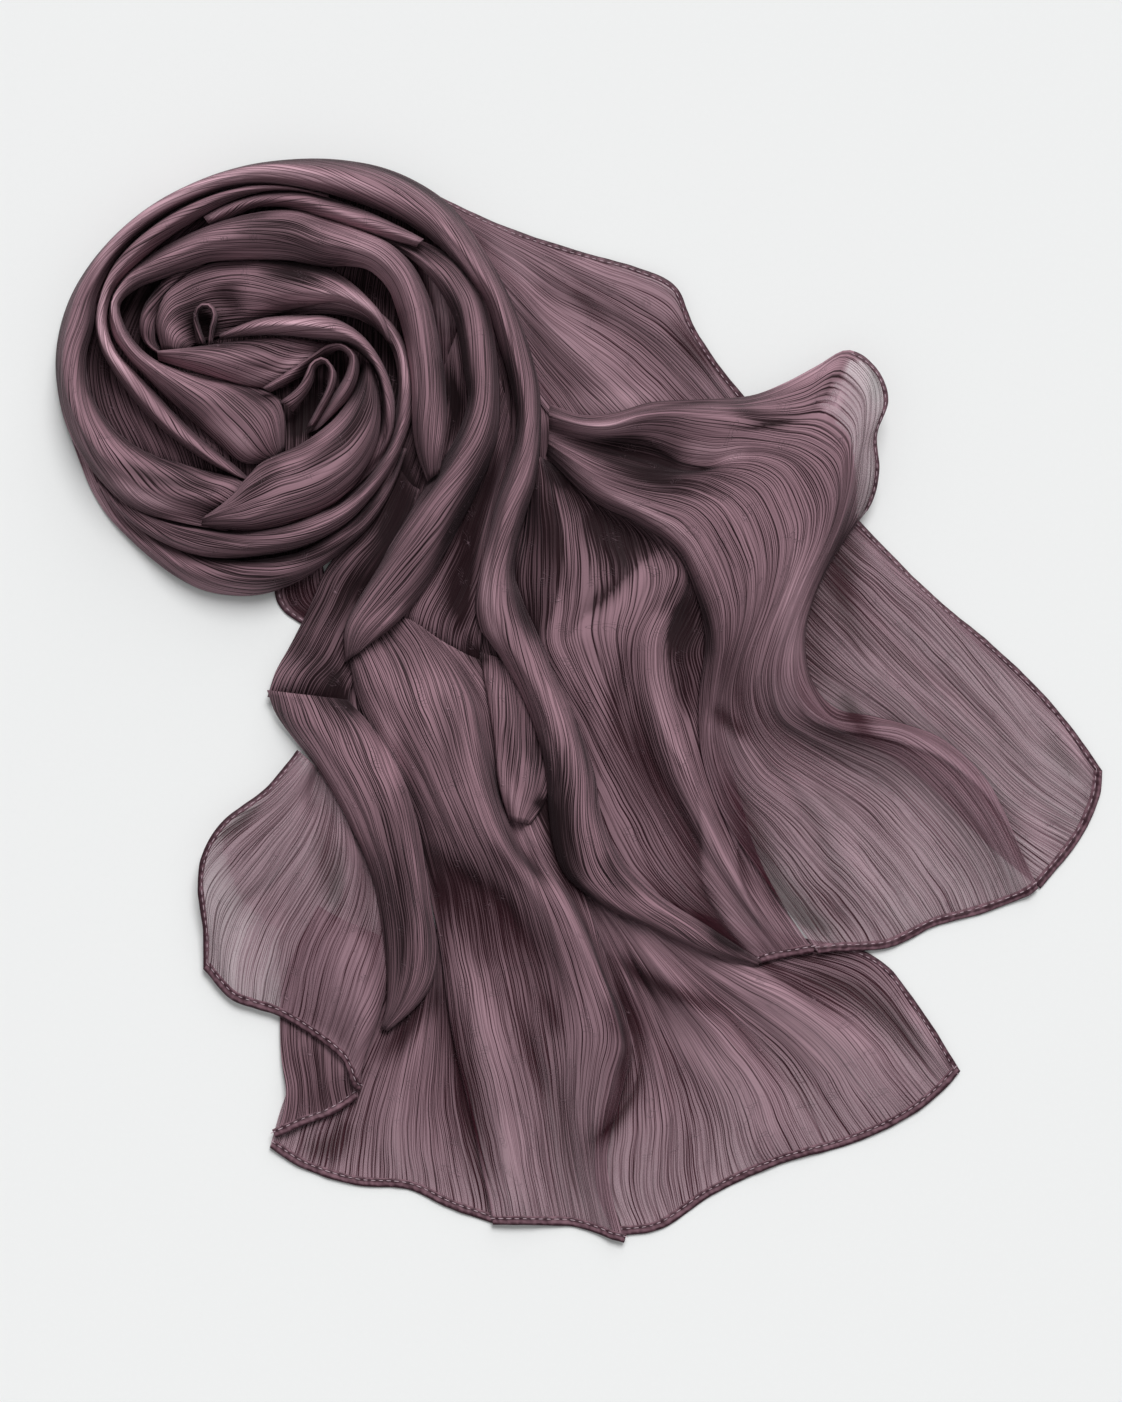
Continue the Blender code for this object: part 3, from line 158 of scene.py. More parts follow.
TABLES = {
    "hidden_layers": """
190,197,2 112,264,2 68,370,2 92,468,2 160,549,2
240,180,2 158,270,20 118,370,22 148,455,20 202,572,2
300,174,2 240,280,28 220,375,28 235,450,26 250,580,2
360,182,2 330,285,30 318,375,26 315,460,26 300,566,2
408,200,2 400,300,28 398,390,26 375,460,22 343,540,2
440,228,2 470,300,20 478,390,18 445,455,12 392,498,2
""",
    "corner_tab": """
276,572,3 276,598,2 284,611,2 299,622,2 320,634,3
292,572,6 293,592,5 299,603,4 311,612,4 326,622,5
323,566,9 326,584,8 329,594,7 334,602,7 340,608,7
""",
    "under_streams": """
398,436,2 372,505,2 340,560,2 326,592,2 334,628,2 342,664,2 344,700,2 366,742,2 398,790,2
430,400,4 412,470,5 386,535,5 368,590,5 382,645,4 404,698,4 428,758,4 450,808,3 474,856,2
458,330,5 464,405,6 452,480,6 436,545,6 432,606,5 456,668,5 482,730,5 510,800,4 545,868,2
482,284,4 502,345,5 518,410,5 516,480,5 498,555,5 488,618,5 508,690,5 536,760,4 584,908,2
496,300,2 526,348,2 552,404,2 558,450,2 544,505,2 534,560,2 532,612,2 548,672,2 570,745,2 \
592,830,2 612,912,2
""",
    "long_side": """
437,196,8 500,225,5 560,246,3 620,264,4 660,277,6 681,293,7 690,320,5 716,362,3 748,402,2 \
800,458,1 859,521,2 925,589,2 1003,655,2 1057,710,2 1102,771,1.5
446,208,15 506,243,9 566,275,6 622,302,9 660,325,9 683,345,6 706,372,3 735,408,2 775,455,1 \
822,505,2 873,555,5 935,610,6 1000,680,5 1048,738,4 1100,792,1.5
452,222,18 505,262,9 555,300,3 600,322,3 640,345,4 670,372,2 700,405,2 735,445,2 775,495,1 \
818,548,3 868,605,2 930,665,2 990,727,3 1035,775,2 1092,815,1.5
458,236,22 503,280,14 545,325,11 585,362,10 622,392,8 655,420,3 692,455,2 730,497,2 770,545,2 \
815,600,5 866,655,6 922,708,5 978,762,5 1022,805,4 1081,837,1.5
462,250,22 498,298,12 530,345,5 562,390,3 600,428,2 640,465,2 685,505,2 725,550,2 765,600,2 \
806,652,4 852,692,3 905,730,2 960,778,2 1003,820,3 1064,860,1.5
464,262,20 490,312,12 515,362,6 545,410,3 585,452,2 630,495,2 675,540,2 715,585,2 750,632,2 \
782,682,2 830,722,2 885,752,2 940,795,2 985,842,2 1040,888,1.5
""",
    "lower_right": """
570,884,4 596,975,2 608,1055,1 598,1130,1 595,1180,1 614,1236,1
580,890,12 625,985,13 648,1060,12 655,1130,9 650,1180,5 662,1228,1.5
587,888,8 645,985,3 682,1060,2 703,1130,1 708,1165,1 712,1195,1
593,886,15 665,975,15 720,1040,13 755,1100,9 770,1140,5 782,1163,1.5
597,884,12 685,965,4 755,1025,2 805,1080,1 828,1115,1 847,1145,1
602,882,18 700,952,20 790,1002,17 852,1052,11 880,1085,6 908,1117,1.5
606,880,14 705,938,8 800,975,3 868,1015,3 905,1050,2 941,1092,1.5
610,876,10 705,915,4 800,938,3 876,957,3 919,1007,3 960,1071,1.5
""",
    "lower_left": """
425,885,4 365,960,2 312,1040,4 284,1100,5 270,1147,2.5
430,900,8 385,985,4 345,1060,3 318,1120,2 303,1168,1.5
433,915,9 408,1000,6 382,1075,5 365,1130,3 357,1185,1.5
436,928,13 425,1010,14 415,1085,11 408,1140,7 408,1189,1.5
440,938,8 440,1015,4 440,1090,2 443,1150,1 450,1208,1
446,948,4 456,1020,1.5 470,1100,1 483,1160,1 496,1224,1
""",
    "left_middle": """
318,905,6 283,985,7 281,1050,8 286,1105,8 276,1137,5.5
335,915,8 306,990,8 300,1050,7 305,1095,6 303,1125,4.5
355,925,9 334,995,8 326,1050,8 328,1088,7 332,1114,5
380,935,10 372,1000,10 360,1045,10 357,1075,9 358,1097,6
""",
    "valley_between": """
500,380,20 470,470,16 425,550,10 398,610,9 390,640,6
506,400,24 480,490,13 445,565,7 418,612,8 412,640,6
510,420,24 488,510,12 462,580,7 440,622,9 436,650,6
512,440,22 492,530,15 478,595,12 460,632,12 455,660,6
512,460,18 498,560,10 488,610,8 482,640,6 478,670,4
""",
    "inner_right": """
530,455,18 526,520,8 515,580,5 525,640,5 556,710,4 578,780,4 600,845,4 672,918,3 761,963,2
540,458,22 552,520,21 554,580,20 545,640,17 580,710,9 612,780,6 648,845,4 702,908,3 766,961,2
548,462,16 575,515,12 580,575,14 570,635,18 597,705,13 632,775,8 668,840,4 716,905,2 770,960,1.5
560,470,12 602,525,12 612,570,15 605,625,19 618,700,9 645,775,4 680,840,2 726,902,1.5 774,959,1.5
592,493,10 646,541,12 655,585,19 635,635,17 637,705,7 660,775,4 695,840,3 735,900,2 779,958,1.5
620,510,12 685,552,20 674,598,23 657,645,19 662,710,18 682,775,17 711,840,14 745,900,8 \
787,957,1.5
645,520,8 698,565,16 690,608,12 674,655,22 684,715,24 704,780,23 728,840,18 757,898,9 796,955,1.5
655,525,4 718,580,5 722,620,3 716,672,4 722,725,5 738,790,4 755,848,3 778,896,2 814,952,1.5
""",
    "sweep": """
550,406,12 590,418,14 650,404,13 705,401,14 755,396,14 803,375,16 850,352,19 886,392,24 \
874,440,22 877,482,15 862,518,7 836,545,5 812,595,4 800,645,4 803,680,4 828,705,4 880,718,5 \
940,738,5 990,785,4 1015,838,3 1038,888,1.5
549,411,18 590,424,24 650,410,27 705,407,27 755,403,24 807,384,24 843,366,24 868,395,32 \
862,440,33 859,480,28 847,521,20 823,560,15 804,612,15 793,660,15 796,697,14 835,720,14 \
900,730,13 960,772,12 1000,830,10 1030,894,1.5
549,418,24 595,430,31 655,420,34 715,424,35 772,432,37 822,440,38 846,462,38 842,510,33 \
815,570,29 793,625,27 783,670,25 792,707,21 835,732,17 900,755,13 955,805,11 990,855,8 \
1010,903,1.5
549,430,14 600,441,9 652,452,9 700,468,12 745,458,31 790,470,37 812,510,36 800,570,32 778,628,28 \
766,675,22 775,715,14 822,750,6 885,785,3 932,835,2 962,880,2 976,915,1.5
549,440,17 600,463,21 650,478,22 700,480,24 742,497,33 768,545,34 762,605,30 746,655,24 \
742,705,15 765,750,9 815,790,7 868,835,7 905,885,6 932,927,1.5
548,446,15 600,482,22 650,503,27 698,520,31 728,565,31 735,620,28 725,670,21 718,715,13 \
735,770,10 780,820,9 825,870,9 862,912,6 886,948,1.5
547,452,9 598,497,14 642,519,17 680,543,20 704,590,20 714,640,18 710,690,12 708,740,8 728,800,4 \
765,858,3 800,905,2 838,951,1.5
546,456,4 594,502,4 638,525,5 673,549,5 695,592,4 705,640,4 700,690,4 700,745,3 718,805,2 \
752,862,1.5 785,908,1.5 818,953,1.5
""",
    "left_upper": """
395,462,14 362,528,12 328,566,8 312,603,7 291,645,9 273,680,11 268,697,9
402,472,18 378,535,20 346,580,20 328,620,20 309,660,21 292,688,18 290,700,10
412,485,16 392,545,14 366,598,14 350,640,15 334,676,14 318,696,11 318,706,7
420,490,14 405,555,10 384,610,8 365,650,8 355,680,7 348,702,6 350,714,4
""",
    "lower_main": """
350,660,6 358,700,6 385,762,5 412,825,4 430,895,3 440,948,2 452,1030,1 472,1120,1 493,1224,1
352,652,14 372,700,19 404,762,18 432,825,17 450,888,6 458,948,7 478,1030,12 500,1120,10 \
522,1224,1.5
372,638,22 400,690,27 430,760,27 456,825,24 480,888,7 492,958,5 512,1040,9 530,1125,6 \
550,1225,1.5
402,618,25 440,680,30 462,755,30 485,825,28 512,890,13 530,960,7 545,1040,11 555,1120,5 \
572,1226,1
436,637,24 474,692,28 492,765,30 512,835,29 545,900,24 568,965,21 583,1040,19 578,1105,9 \
588,1180,3 600,1234,1
466,654,18 500,712,23 516,778,25 536,845,25 568,905,25 598,970,24 617,1040,20 602,1100,10 \
600,1180,3 612,1239,1
486,663,8 518,728,9 530,792,8 552,855,8 582,915,8 606,981,7 626,1043,6 617,1091,4 602,1152,2 \
617,1240,1
492,668,4 528,735,4 548,795,4 570,855,4 592,915,4 612,980,3 632,1042,2 623,1090,1.5 607,1151,1 \
624,1242,1
""",
    "bulge_roll": """
480,652,512,662,6,4,12 488,700,534,705,8,4,17 495,745,548,752,8,3,19 500,790,545,800,6,3,15
510,820,530,824,3,3,8
""",
    "left_flap": """
298,750,8 264,791,9 226,819,13 205,850,14 199,887,12 204,926,9 204,968,5
308,758,12 280,805,14 248,855,14 228,905,11 226,950,10 231,998,5
318,770,16 303,830,17 285,890,15 276,950,13 276,1014,5
330,785,18 332,850,19 324,915,18 318,975,16 318,1039,6
342,802,18 360,865,22 366,935,23 358,1000,21 346,1064,10
348,816,12 373,876,17 384,945,19 378,1004,18 359,1059,14 354,1087,9
353,813,8 379,874,10 389,945,11 383,1006,10 364,1062,8 359,1090,6
""",
    "left_lower": """
268,690,348,700,8,5,20 279,718,374,728,5,6,25 304,750,396,763,4,7,27 330,787,412,802,5,8,27
352,828,423,848,6,7,25 372,876,431,902,5,6,22 382,924,437,950,5,5,20 387,972,431,986,5,5,18
386,1010,408,1014,5,5,12 381,1028,388,1030,4,4,6
""",
    "stream_left": """
368,240,360,230,38,38,40 405,256,400,238,36,36,43 430,280,438,250,32,30,44
448,305,468,274,26,26,45 458,330,486,306,22,22,45 463,365,496,347,18,18,44
468,402,500,402,16,14,42 456,440,496,446,16,12,40 436,470,480,486,16,10,38 416,503,462,522,14,8,35
392,543,442,560,12,7,32 370,583,424,592,10,7,29 350,615,404,617,8,8,27 343,642,384,636,6,10,24
346,662,364,650,4,8,14
""",
    "coil_under_turn": """
72,440,84,446,3,12,14 84,472,102,476,2,13,18 100,505,124,502,1.5,14,20 125,534,152,528,1.5,14,22
155,561,182,546,1.5,14,23 197,588,215,557,1.5,14,24 240,596,250,560,1.5,14,24
280,590,285,556,1.5,14,24 312,574,308,549,2,14,23 342,553,334,532,4,15,23 372,525,362,508,6,16,24
394,488,382,478,8,16,24 408,450,396,446,10,16,22
""",
    "coil_lower_turn": """
98,484,110,478,12,14,18 122,514,138,504,13,16,25 160,541,170,520,14,18,29 205,557,207,525,14,18,32
255,557,252,530,14,18,33 305,547,300,520,14,18,34 345,526,338,501,14,18,35
378,491,367,472,14,18,36 401,452,387,440,14,18,37 414,410,397,405,14,18,38
413,370,397,368,14,18,39 403,340,387,340,16,20,40 383,315,370,326,20,20,40
350,299,347,317,24,18,38 308,299,308,316,26,18,35 270,309,274,321,24,18,30
242,329,246,333,20,18,24
""",
    "coil_inner_edge": """
205,262,206,268,20,22,26 172,274,180,284,16,20,28 151,297,164,305,14,18,29
141,322,158,327,14,18,30 143,340,158,344,14,18,30 158,354,168,352,16,18,28
184,358,186,353,18,18,24
""",
    "coil_inner_turn": """
393,347,388,343,20,20,24 386,322,372,320,20,22,34 366,297,345,305,20,22,38
337,274,312,308,20,20,39 300,262,285,314,20,18,38 250,257,262,322,20,16,37
211,265,240,330,20,14,36 181,283,218,338,18,14,35 163,305,196,345,17,14,34
157,333,190,350,16,14,32 164,353,186,354,16,15,26
""",
    "coil_third_turn": """
205,219,212,228,18,16,21 232,205,238,218,20,17,26 262,196,262,209,22,18,28
300,192,300,213,22,18,34 340,203,338,225,22,20,36 383,221,378,239,24,24,37
425,243,418,250,28,28,34
""",
    "coil_wide_turn": """
440,474,428,482,10,12,16 447,428,414,440,12,14,30 446,390,413,400,14,14,34
440,345,409,358,16,14,37 430,300,398,314,20,16,40 408,262,384,284,26,16,42
378,240,360,268,28,16,43 338,226,335,270,20,16,43 300,213,300,264,18,16,42
250,217,250,262,18,16,41 205,230,212,264,18,16,40 165,248,180,275,17,15,38
128,270,146,288,16,15,36 113,295,123,300,15,15,33 110,322,126,325,15,14,32
120,347,143,351,14,14,33 140,370,166,366,14,15,34 170,400,206,377,14,16,36
205,432,246,385,14,16,37 238,459,280,402,14,15,36 262,472,292,428,12,13,31
274,464,286,452,11,11,17
""",
    "coil_second_turn": """
330,197,330,201,20,20,22 290,189,290,193,19,19,25 250,187,250,198,18,18,30
200,199,203,219,17,16,34 160,220,170,240,16,15,35 130,244,143,262,15,15,34
112,270,121,284,15,15,33 101,300,111,303,15,15,31 97,326,109,330,14,15,30 103,352,121,357,13,15,30
120,381,144,380,12,14,30 145,413,172,410,12,14,30 175,440,206,443,12,14,30
205,461,236,466,13,14,28 238,478,252,481,13,13,20
""",
    "outer_turn": """
762,961,755,966,2,2,4 742,948,708,953,3,3,9 702,922,650,928,4,3,13 656,892,596,901,4,4,17
622,858,561,868,5,4,19 603,818,550,820,6,4,22 594,771,545,766,7,4,25 579,728,531,716,8,5,26
563,690,510,672,8,6,27 545,654,488,638,9,7,28 531,616,476,618,10,8,30 517,590,478,588,10,10,32
517,551,487,546,10,11,34 527,511,496,503,11,12,36 537,476,508,466,12,13,38
541,434,517,430,12,14,39 539,386,512,390,12,15,39 525,336,500,348,14,18,39
506,291,487,306,20,22,39 482,249,463,274,22,26,38 452,208,438,248,10,24,36 402,175,398,222,4,22,38
350,161,350,203,2,20,38 300,159,300,190,1.5,19,37 250,165,252,187,1.5,18,36
200,181,206,199,1.5,17,35 160,201,170,216,1.5,16,34 125,227,138,240,1.5,15,34
95,259,114,267,1.5,15,34 72,295,99,299,1.5,15,34 60,330,95,330,1.5,14,34 56,370,88,368,1.5,14,34
61,405,96,402,2,14,34 73,440,120,434,6,14,35 95,473,152,455,12,15,36 126,504,190,467,16,16,37
162,519,226,477,18,16,36 202,527,248,482,18,17,30 228,532,262,492,16,16,20
""",
    "coil_centre": """
160,353,160,362,16,14,20 200,349,200,374,20,14,30 250,342,250,387,20,14,31
288,340,283,389,20,14,31 318,343,310,369,20,16,31 342,346,336,353,18,16,24
""",
    "core_loop_edge": """
199,346,208.8,346,16,16,22 196.5,333,203.5,332,16,16,27 195,320,200.5,319,16,16,28
198.5,309,202.5,312.5,16,16,29 206.5,305,207,310,16,16,29 215,307,211.5,311.5,16,16,29
219.5,316,214,317.5,16,16,28 217,331,211,330,16,16,27 213.5,347,209.8,347,16,16,22
""",
    "coil_lip": """
222,336,222,342,20,18,24 256,322,258,338,22,18,34 300,318,299,339,24,18,38
340,322,335,345,24,18,40 368,342,359,353,22,18,41 386,370,376,374,20,18,41
396,402,382,402,18,18,41 392,440,377,434,18,20,40 374,470,360,458,18,24,37
350,493,338,482,18,28,33
""",
    "coil_front_turn": """
203,527,205,519,18,18,21 250,532,231,501,18,18,33 300,521,262,465,18,17,38
340,501,300,447,18,16,40 366,472,331,424,18,15,40 381,434,351,397,20,15,39
381,400,360,376,20,15,34 374,368,364,362,18,16,22
""",
    "loop_strand": """
271.6,393.9,263.9,389.3,16,18,22 294.5,382,290.7,372.4,14,20,28 314.6,369.6,313.7,357.1,14,20,32
327,357.6,328,347.2,14,20,33 339.5,351.2,342.4,345.1,14,20,34 349.6,358.1,357.7,355.2,14,20,33
346.2,376.3,360.9,372.4,13,18,31 333.2,395.4,352.9,395.4,13,16,28 320.5,414.5,337.6,412.6,13,15,24
308,433.7,318.4,430.8,13,14,18
""",
    "loop_inner": """
293.6,412.6,282.1,402.1,14,16,20 307,397.3,299.3,388.7,14,16,25 315.2,380.1,307.9,374.4,14,16,28
318.4,367.1,315.6,361.5,14,16,29 325.1,364.8,326.1,359.4,14,16,29 329.9,372.4,337,372.4,14,16,29
328,387.7,337.6,383.9,13,15,27 319,406.9,328.5,405,13,14,24 307.5,428.5,316,426.5,13,14,18
""",
}


def rows_of(text: str) -> list[Line]:
    """Read a table: one row a line, points apart by spaces and their numbers by commas."""
    return [
        [tuple(float(number) for number in point.split(",")) for point in row.split()]
        for row in text.strip().splitlines()
    ]


def laid_by_hand(kind: Any, text: str) -> list[Any]:
    """Read what was listed: lines of sizes and points under lines that name cloths.

    Args:
        kind: The named tuple that a line makes.
        text: The lines.

    Returns:
        What the lines make.
    """
    made = []
    cloths: list[str] = []
    for line in text.strip().splitlines():
        if line.endswith(":"):
            cloths = line[:-1].split()
            continue
        words = rows_of(line)[0]
        sizes = [word[0] for word in words if len(word) == 1]
        made.append(kind(cloths, *sizes, [word for word in words if len(word) > 1]))
    return made


# ---------------------------------------------------------------- shape helpers


def in_metres(stations: Any) -> np.ndarray:
    """Turn table stations into points in metres.

    Args:
        stations: Rows of plan x, plan y and height.

    Returns:
        One point for each row.
    """
    table = np.array(stations, dtype=float)
    return np.column_stack(
        ((table[:, 0] - MID_X) * PLAN, (MID_Y - table[:, 1]) * PLAN, table[:, 2] * RISE)
    )


def curve_through(knots: np.ndarray, values: Any, at: np.ndarray) -> np.ndarray:
    """Read a smooth curve through values at uneven knots.

    Args:
        knots: Where the values lie.
        values: The values, along the first axis.
        at: Where the curve is read.

    Returns:
        The curve's values.
    """
    values = np.asarray(values, dtype=float)
    wide = (...,) + (None,) * (values.ndim - 1)
    step = np.diff(knots)
    chords = np.diff(values, axis=0) / step[wide]
    slopes = np.empty_like(values)
    slopes[0] = chords[0]
    slopes[-1] = chords[-1]
    if len(knots) > 2:
        share = (step[1:] / (step[:-1] + step[1:]))[wide]
        slopes[1:-1] = chords[:-1] * share + chords[1:] * (1.0 - share)
    cell = np.clip(np.searchsorted(knots, at, side="right") - 1, 0, len(knots) - 2)
    width = step[cell]
    t = ((at - knots[cell]) / width)[wide]
    width = width[wide]
    return (
        (2 * t**3 - 3 * t**2 + 1) * values[cell]
        + (t**3 - 2 * t**2 + t) * width * slopes[cell]
        + (3 * t**2 - 2 * t**3) * values[cell + 1]
        + (t**3 - t**2) * width * slopes[cell + 1]
    )


def run_of(points: np.ndarray) -> np.ndarray:
    """Return where each point lies along its line in plan, from 0 to 1.

    Args:
        points: The line's points.

    Returns:
        The run up to each point.
    """
    steps = np.hypot(*np.diff(points[:, :2], axis=0).T)
    run = np.concatenate(([0.0], np.cumsum(np.maximum(steps, 1e-6))))
    return run / run[-1]


def smooth_line(line: Line) -> np.ndarray:
    """Return a smooth line, in metres, through a table's plan points."""
    points = in_metres([(x, y, 0.0) for x, y in line])
    return curve_through(run_of(points), points, np.linspace(0.0, 1.0, 8 * len(points)))[:, :2]


def mean_size(grid: np.ndarray) -> tuple[float, float]:
    """Return a grid's mean width and length over its surface.

    Args:
        grid: The grid of points.

    Returns:
        The width and the length, in metres.
    """
    width = np.linalg.norm(np.diff(grid, axis=0), axis=2).sum(axis=0).mean()
    length = np.linalg.norm(np.diff(grid, axis=1), axis=2).sum(axis=1).mean()
    return float(width), float(length)


def faces_of(rows: int, columns: int) -> list[tuple[int, ...]]:
    """List a grid's triangles, indexed row by row.

    Args:
        rows: The grid's rows.
        columns: The grid's columns.

    Returns:
        The triangles.
    """
    faces: list[tuple[int, ...]] = []
    for i in range(rows - 1):
        for j in range(columns - 1):
            a = i * columns + j
            b = a + columns
            faces += [(a, b, b + 1), (a, b + 1, a + 1)]
    return faces


def tree_of(grid: np.ndarray) -> BVHTree:
    """Make a search tree over a grid's triangles."""
    points = [Vector(point) for point in grid.reshape(-1, 3)]
    return BVHTree.FromPolygons(points, faces_of(*grid.shape[:2]))


def heights_met(trees: list[BVHTree], x: float, y: float, way: Vector) -> list[float]:
    """Return the heights where a plumb line, sent up or down, first meets each tree.

    Args:
        trees: The search trees.
        x: The line's place.
        y: The line's place.
        way: UP from below the floor, or DOWN from high above it.

    Returns:
        The height for each tree that the line meets.
    """
    start = Vector((x, y, -way.z))
    hits = [tree.ray_cast(start, way)[0] for tree in trees]
    return [hit.z for hit in hits if hit is not None]


def meet(first: np.ndarray, second: np.ndarray) -> bool:
    """Say whether the plan boxes of two grids meet.

    Args:
        first: One grid.
        second: The other grid.

    Returns:
        True if they meet.
    """
    one, other = first[:, :, :2], second[:, :, :2]
    return bool(
        np.all(one.min(axis=(0, 1)) <= other.max(axis=(0, 1)))
        and np.all(other.min(axis=(0, 1)) <= one.max(axis=(0, 1)))
    )


def raise_around(values: np.ndarray, i: int, j: int, least: float) -> None:
    """Raise a cell's four corners to at least a value."""
    values[i : i + 2, j : j + 2] = np.maximum(values[i : i + 2, j : j + 2], least)


def eased(field_of: np.ndarray, rounds: int, keep: float) -> np.ndarray:
    """Ease a field of moves into its neighbours without making any smaller.

    Args:
        field_of: The moves on a grid.
        rounds: How often they are eased.
        keep: How much of the neighbours' mean is kept.

    Returns:
        The eased moves.
    """
    for _ in range(rounds):
        padded = np.pad(field_of, 1, mode="edge")
        mean = (padded[:-2, 1:-1] + padded[2:, 1:-1] + padded[1:-1, :-2] + padded[1:-1, 2:]) / 4
        field_of = np.maximum(field_of, mean * keep)
    return field_of


def blurred(values: np.ndarray, across: float, along: float) -> np.ndarray:
    """Blur a grid of values.

    Args:
        values: The values, on a grid that may hold points.
        across: The blur over the first axis, in cells.
        along: The blur over the second axis, in cells.

    Returns:
        The blurred values.
    """
    for axis, sigma in ((0, across), (1, along)):
        reach = max(1, math.ceil(2.5 * sigma))
        spots = np.arange(-reach, reach + 1)
        weights = np.exp(-0.5 * (spots / max(sigma, 0.3)) ** 2)
        weights /= weights.sum()
        rim = [(0, 0)] * values.ndim
        rim[axis] = (reach, reach)
        padded = np.pad(values, rim, mode="edge")
        count = values.shape[axis]
        parts = [
            weight * np.take(padded, range(k, k + count), axis=axis)
            for k, weight in enumerate(weights)
        ]
        values = np.sum(parts, axis=0)
    return values


def opened(grid: np.ndarray, rounds: int = 80, least: float = 4e-7) -> np.ndarray:
    """Ease a grid apart in plan wherever a face would turn back over its neighbour.

    Args:
        grid: The grid of points.
        rounds: The most rounds of easing.
        least: The least turn that a face's corner keeps, in square metres.

    Returns:
        The eased grid.
    """
    grid = grid.copy()
    for _ in range(rounds):
        plan = grid[:, :, :2]
        ring = (plan[:-1, :-1], plan[1:, :-1], plan[1:, 1:], plan[:-1, 1:])
        turns = []
        for corner in range(4):
            out = ring[(corner + 1) % 4] - ring[corner]
            back = ring[corner - 1] - ring[corner]
            turns.append(out[..., 0] * back[..., 1] - out[..., 1] * back[..., 0])
        turns = np.array(turns)
        tight = (turns * np.sign(np.median(turns))).min(axis=0) < least
        if not tight.any():
            break
        near = np.zeros(grid.shape[:2], dtype=bool)
        for rows in (slice(0, -1), slice(1, None)):
            for columns in (slice(0, -1), slice(1, None)):
                near[rows, columns] |= tight
        mean = plan.copy()
        mean[1:-1] += (plan[:-2] + plan[2:] - 2 * plan[1:-1]) / 4
        mean[:, 1:-1] += (plan[:, :-2] + plan[:, 2:] - 2 * plan[:, 1:-1]) / 4
        plan[near] = mean[near]
    return grid


def normals_of(grid: np.ndarray) -> np.ndarray:
    """Return the grid's unit normals, turned so that they point up.

    Args:
        grid: The grid of points.

    Returns:
        A unit normal for each point.
    """
    normal = np.cross(np.gradient(grid, axis=0), np.gradient(grid, axis=1))
    normal /= np.maximum(np.linalg.norm(normal, axis=2, keepdims=True), 1e-12)
    return np.where(normal[:, :, 2:3] < 0.0, -normal, normal)


def value_noise(x: np.ndarray, y: np.ndarray, seed: int) -> np.ndarray:
    """Smooth noise from -1 to 1 over a plane of unit cells.

    Args:
        x: First coordinate, in cells.
        y: Second coordinate, in cells.
        seed: Fixed seed of the table of values.

    Returns:
        The noise at each place.
    """
    table = np.random.default_rng(seed).uniform(-1.0, 1.0, (256, 256))
    ix, iy = np.floor(x).astype(int), np.floor(y).astype(int)
    fx, fy = x - ix, y - iy
    fx, fy = fx * fx * (3 - 2 * fx), fy * fy * (3 - 2 * fy)

    def at(a: int, b: int) -> np.ndarray:
        """Read the table at one corner of each cell."""
        return table[(ix + a) % 256, (iy + b) % 256]

    low = at(0, 0) * (1 - fx) + at(1, 0) * fx
    high = at(0, 1) * (1 - fx) + at(1, 1) * fx
    return low * (1 - fy) + high * fy


def distance_to_line(
    points: np.ndarray, line: np.ndarray
) -> tuple[np.ndarray, np.ndarray, np.ndarray]:
    """Find how far points lie from a line in plan.

    Args:
        points: Plan points, along the last axis.
        line: The line's plan points.

    Returns:
        The distance, how far along the line from 0 to 1 the nearest place is, and whether
        the point lies to the line's left.
    """
    runs = np.concatenate(([0.0], np.cumsum(np.hypot(*np.diff(line, axis=0).T))))
    best = np.full(points.shape[:-1], 1e9)
    where = np.zeros(points.shape[:-1])
    left = np.zeros(points.shape[:-1], dtype=bool)
    for start, end, low, high in zip(line, line[1:], runs, runs[1:]):
        way = end - start
        t = np.clip(((points - start) @ way) / max(float(way @ way), 1e-12), 0.0, 1.0)
        far = np.linalg.norm(points - (start + t[..., None] * way), axis=-1)
        nearer = far < best
        best = np.where(nearer, far, best)
        where = np.where(nearer, (low + t * (high - low)) / runs[-1], where)
        side = way[0] * (points[..., 1] - start[1]) - way[1] * (points[..., 0] - start[0]) > 0.0
        left = np.where(nearer, side, left)
    return best, where, left


def inside(points: np.ndarray, outline: np.ndarray) -> np.ndarray:
    """Say which plan points lie inside a closed outline.

    Args:
        points: Plan points, along the last axis.
        outline: The outline's points.

    Returns:
        True for each point inside.
    """
    x, y = points[..., 0], points[..., 1]
    found = np.zeros(x.shape, dtype=bool)
    for (ax, ay), (bx, by) in zip(outline, np.roll(outline, -1, axis=0)):
        if ay != by:
            found ^= ((ay > y) != (by > y)) & (x < (bx - ax) * (y - ay) / (by - ay) + ax)
    return found


# ---------------------------------------------------------------- the cloth


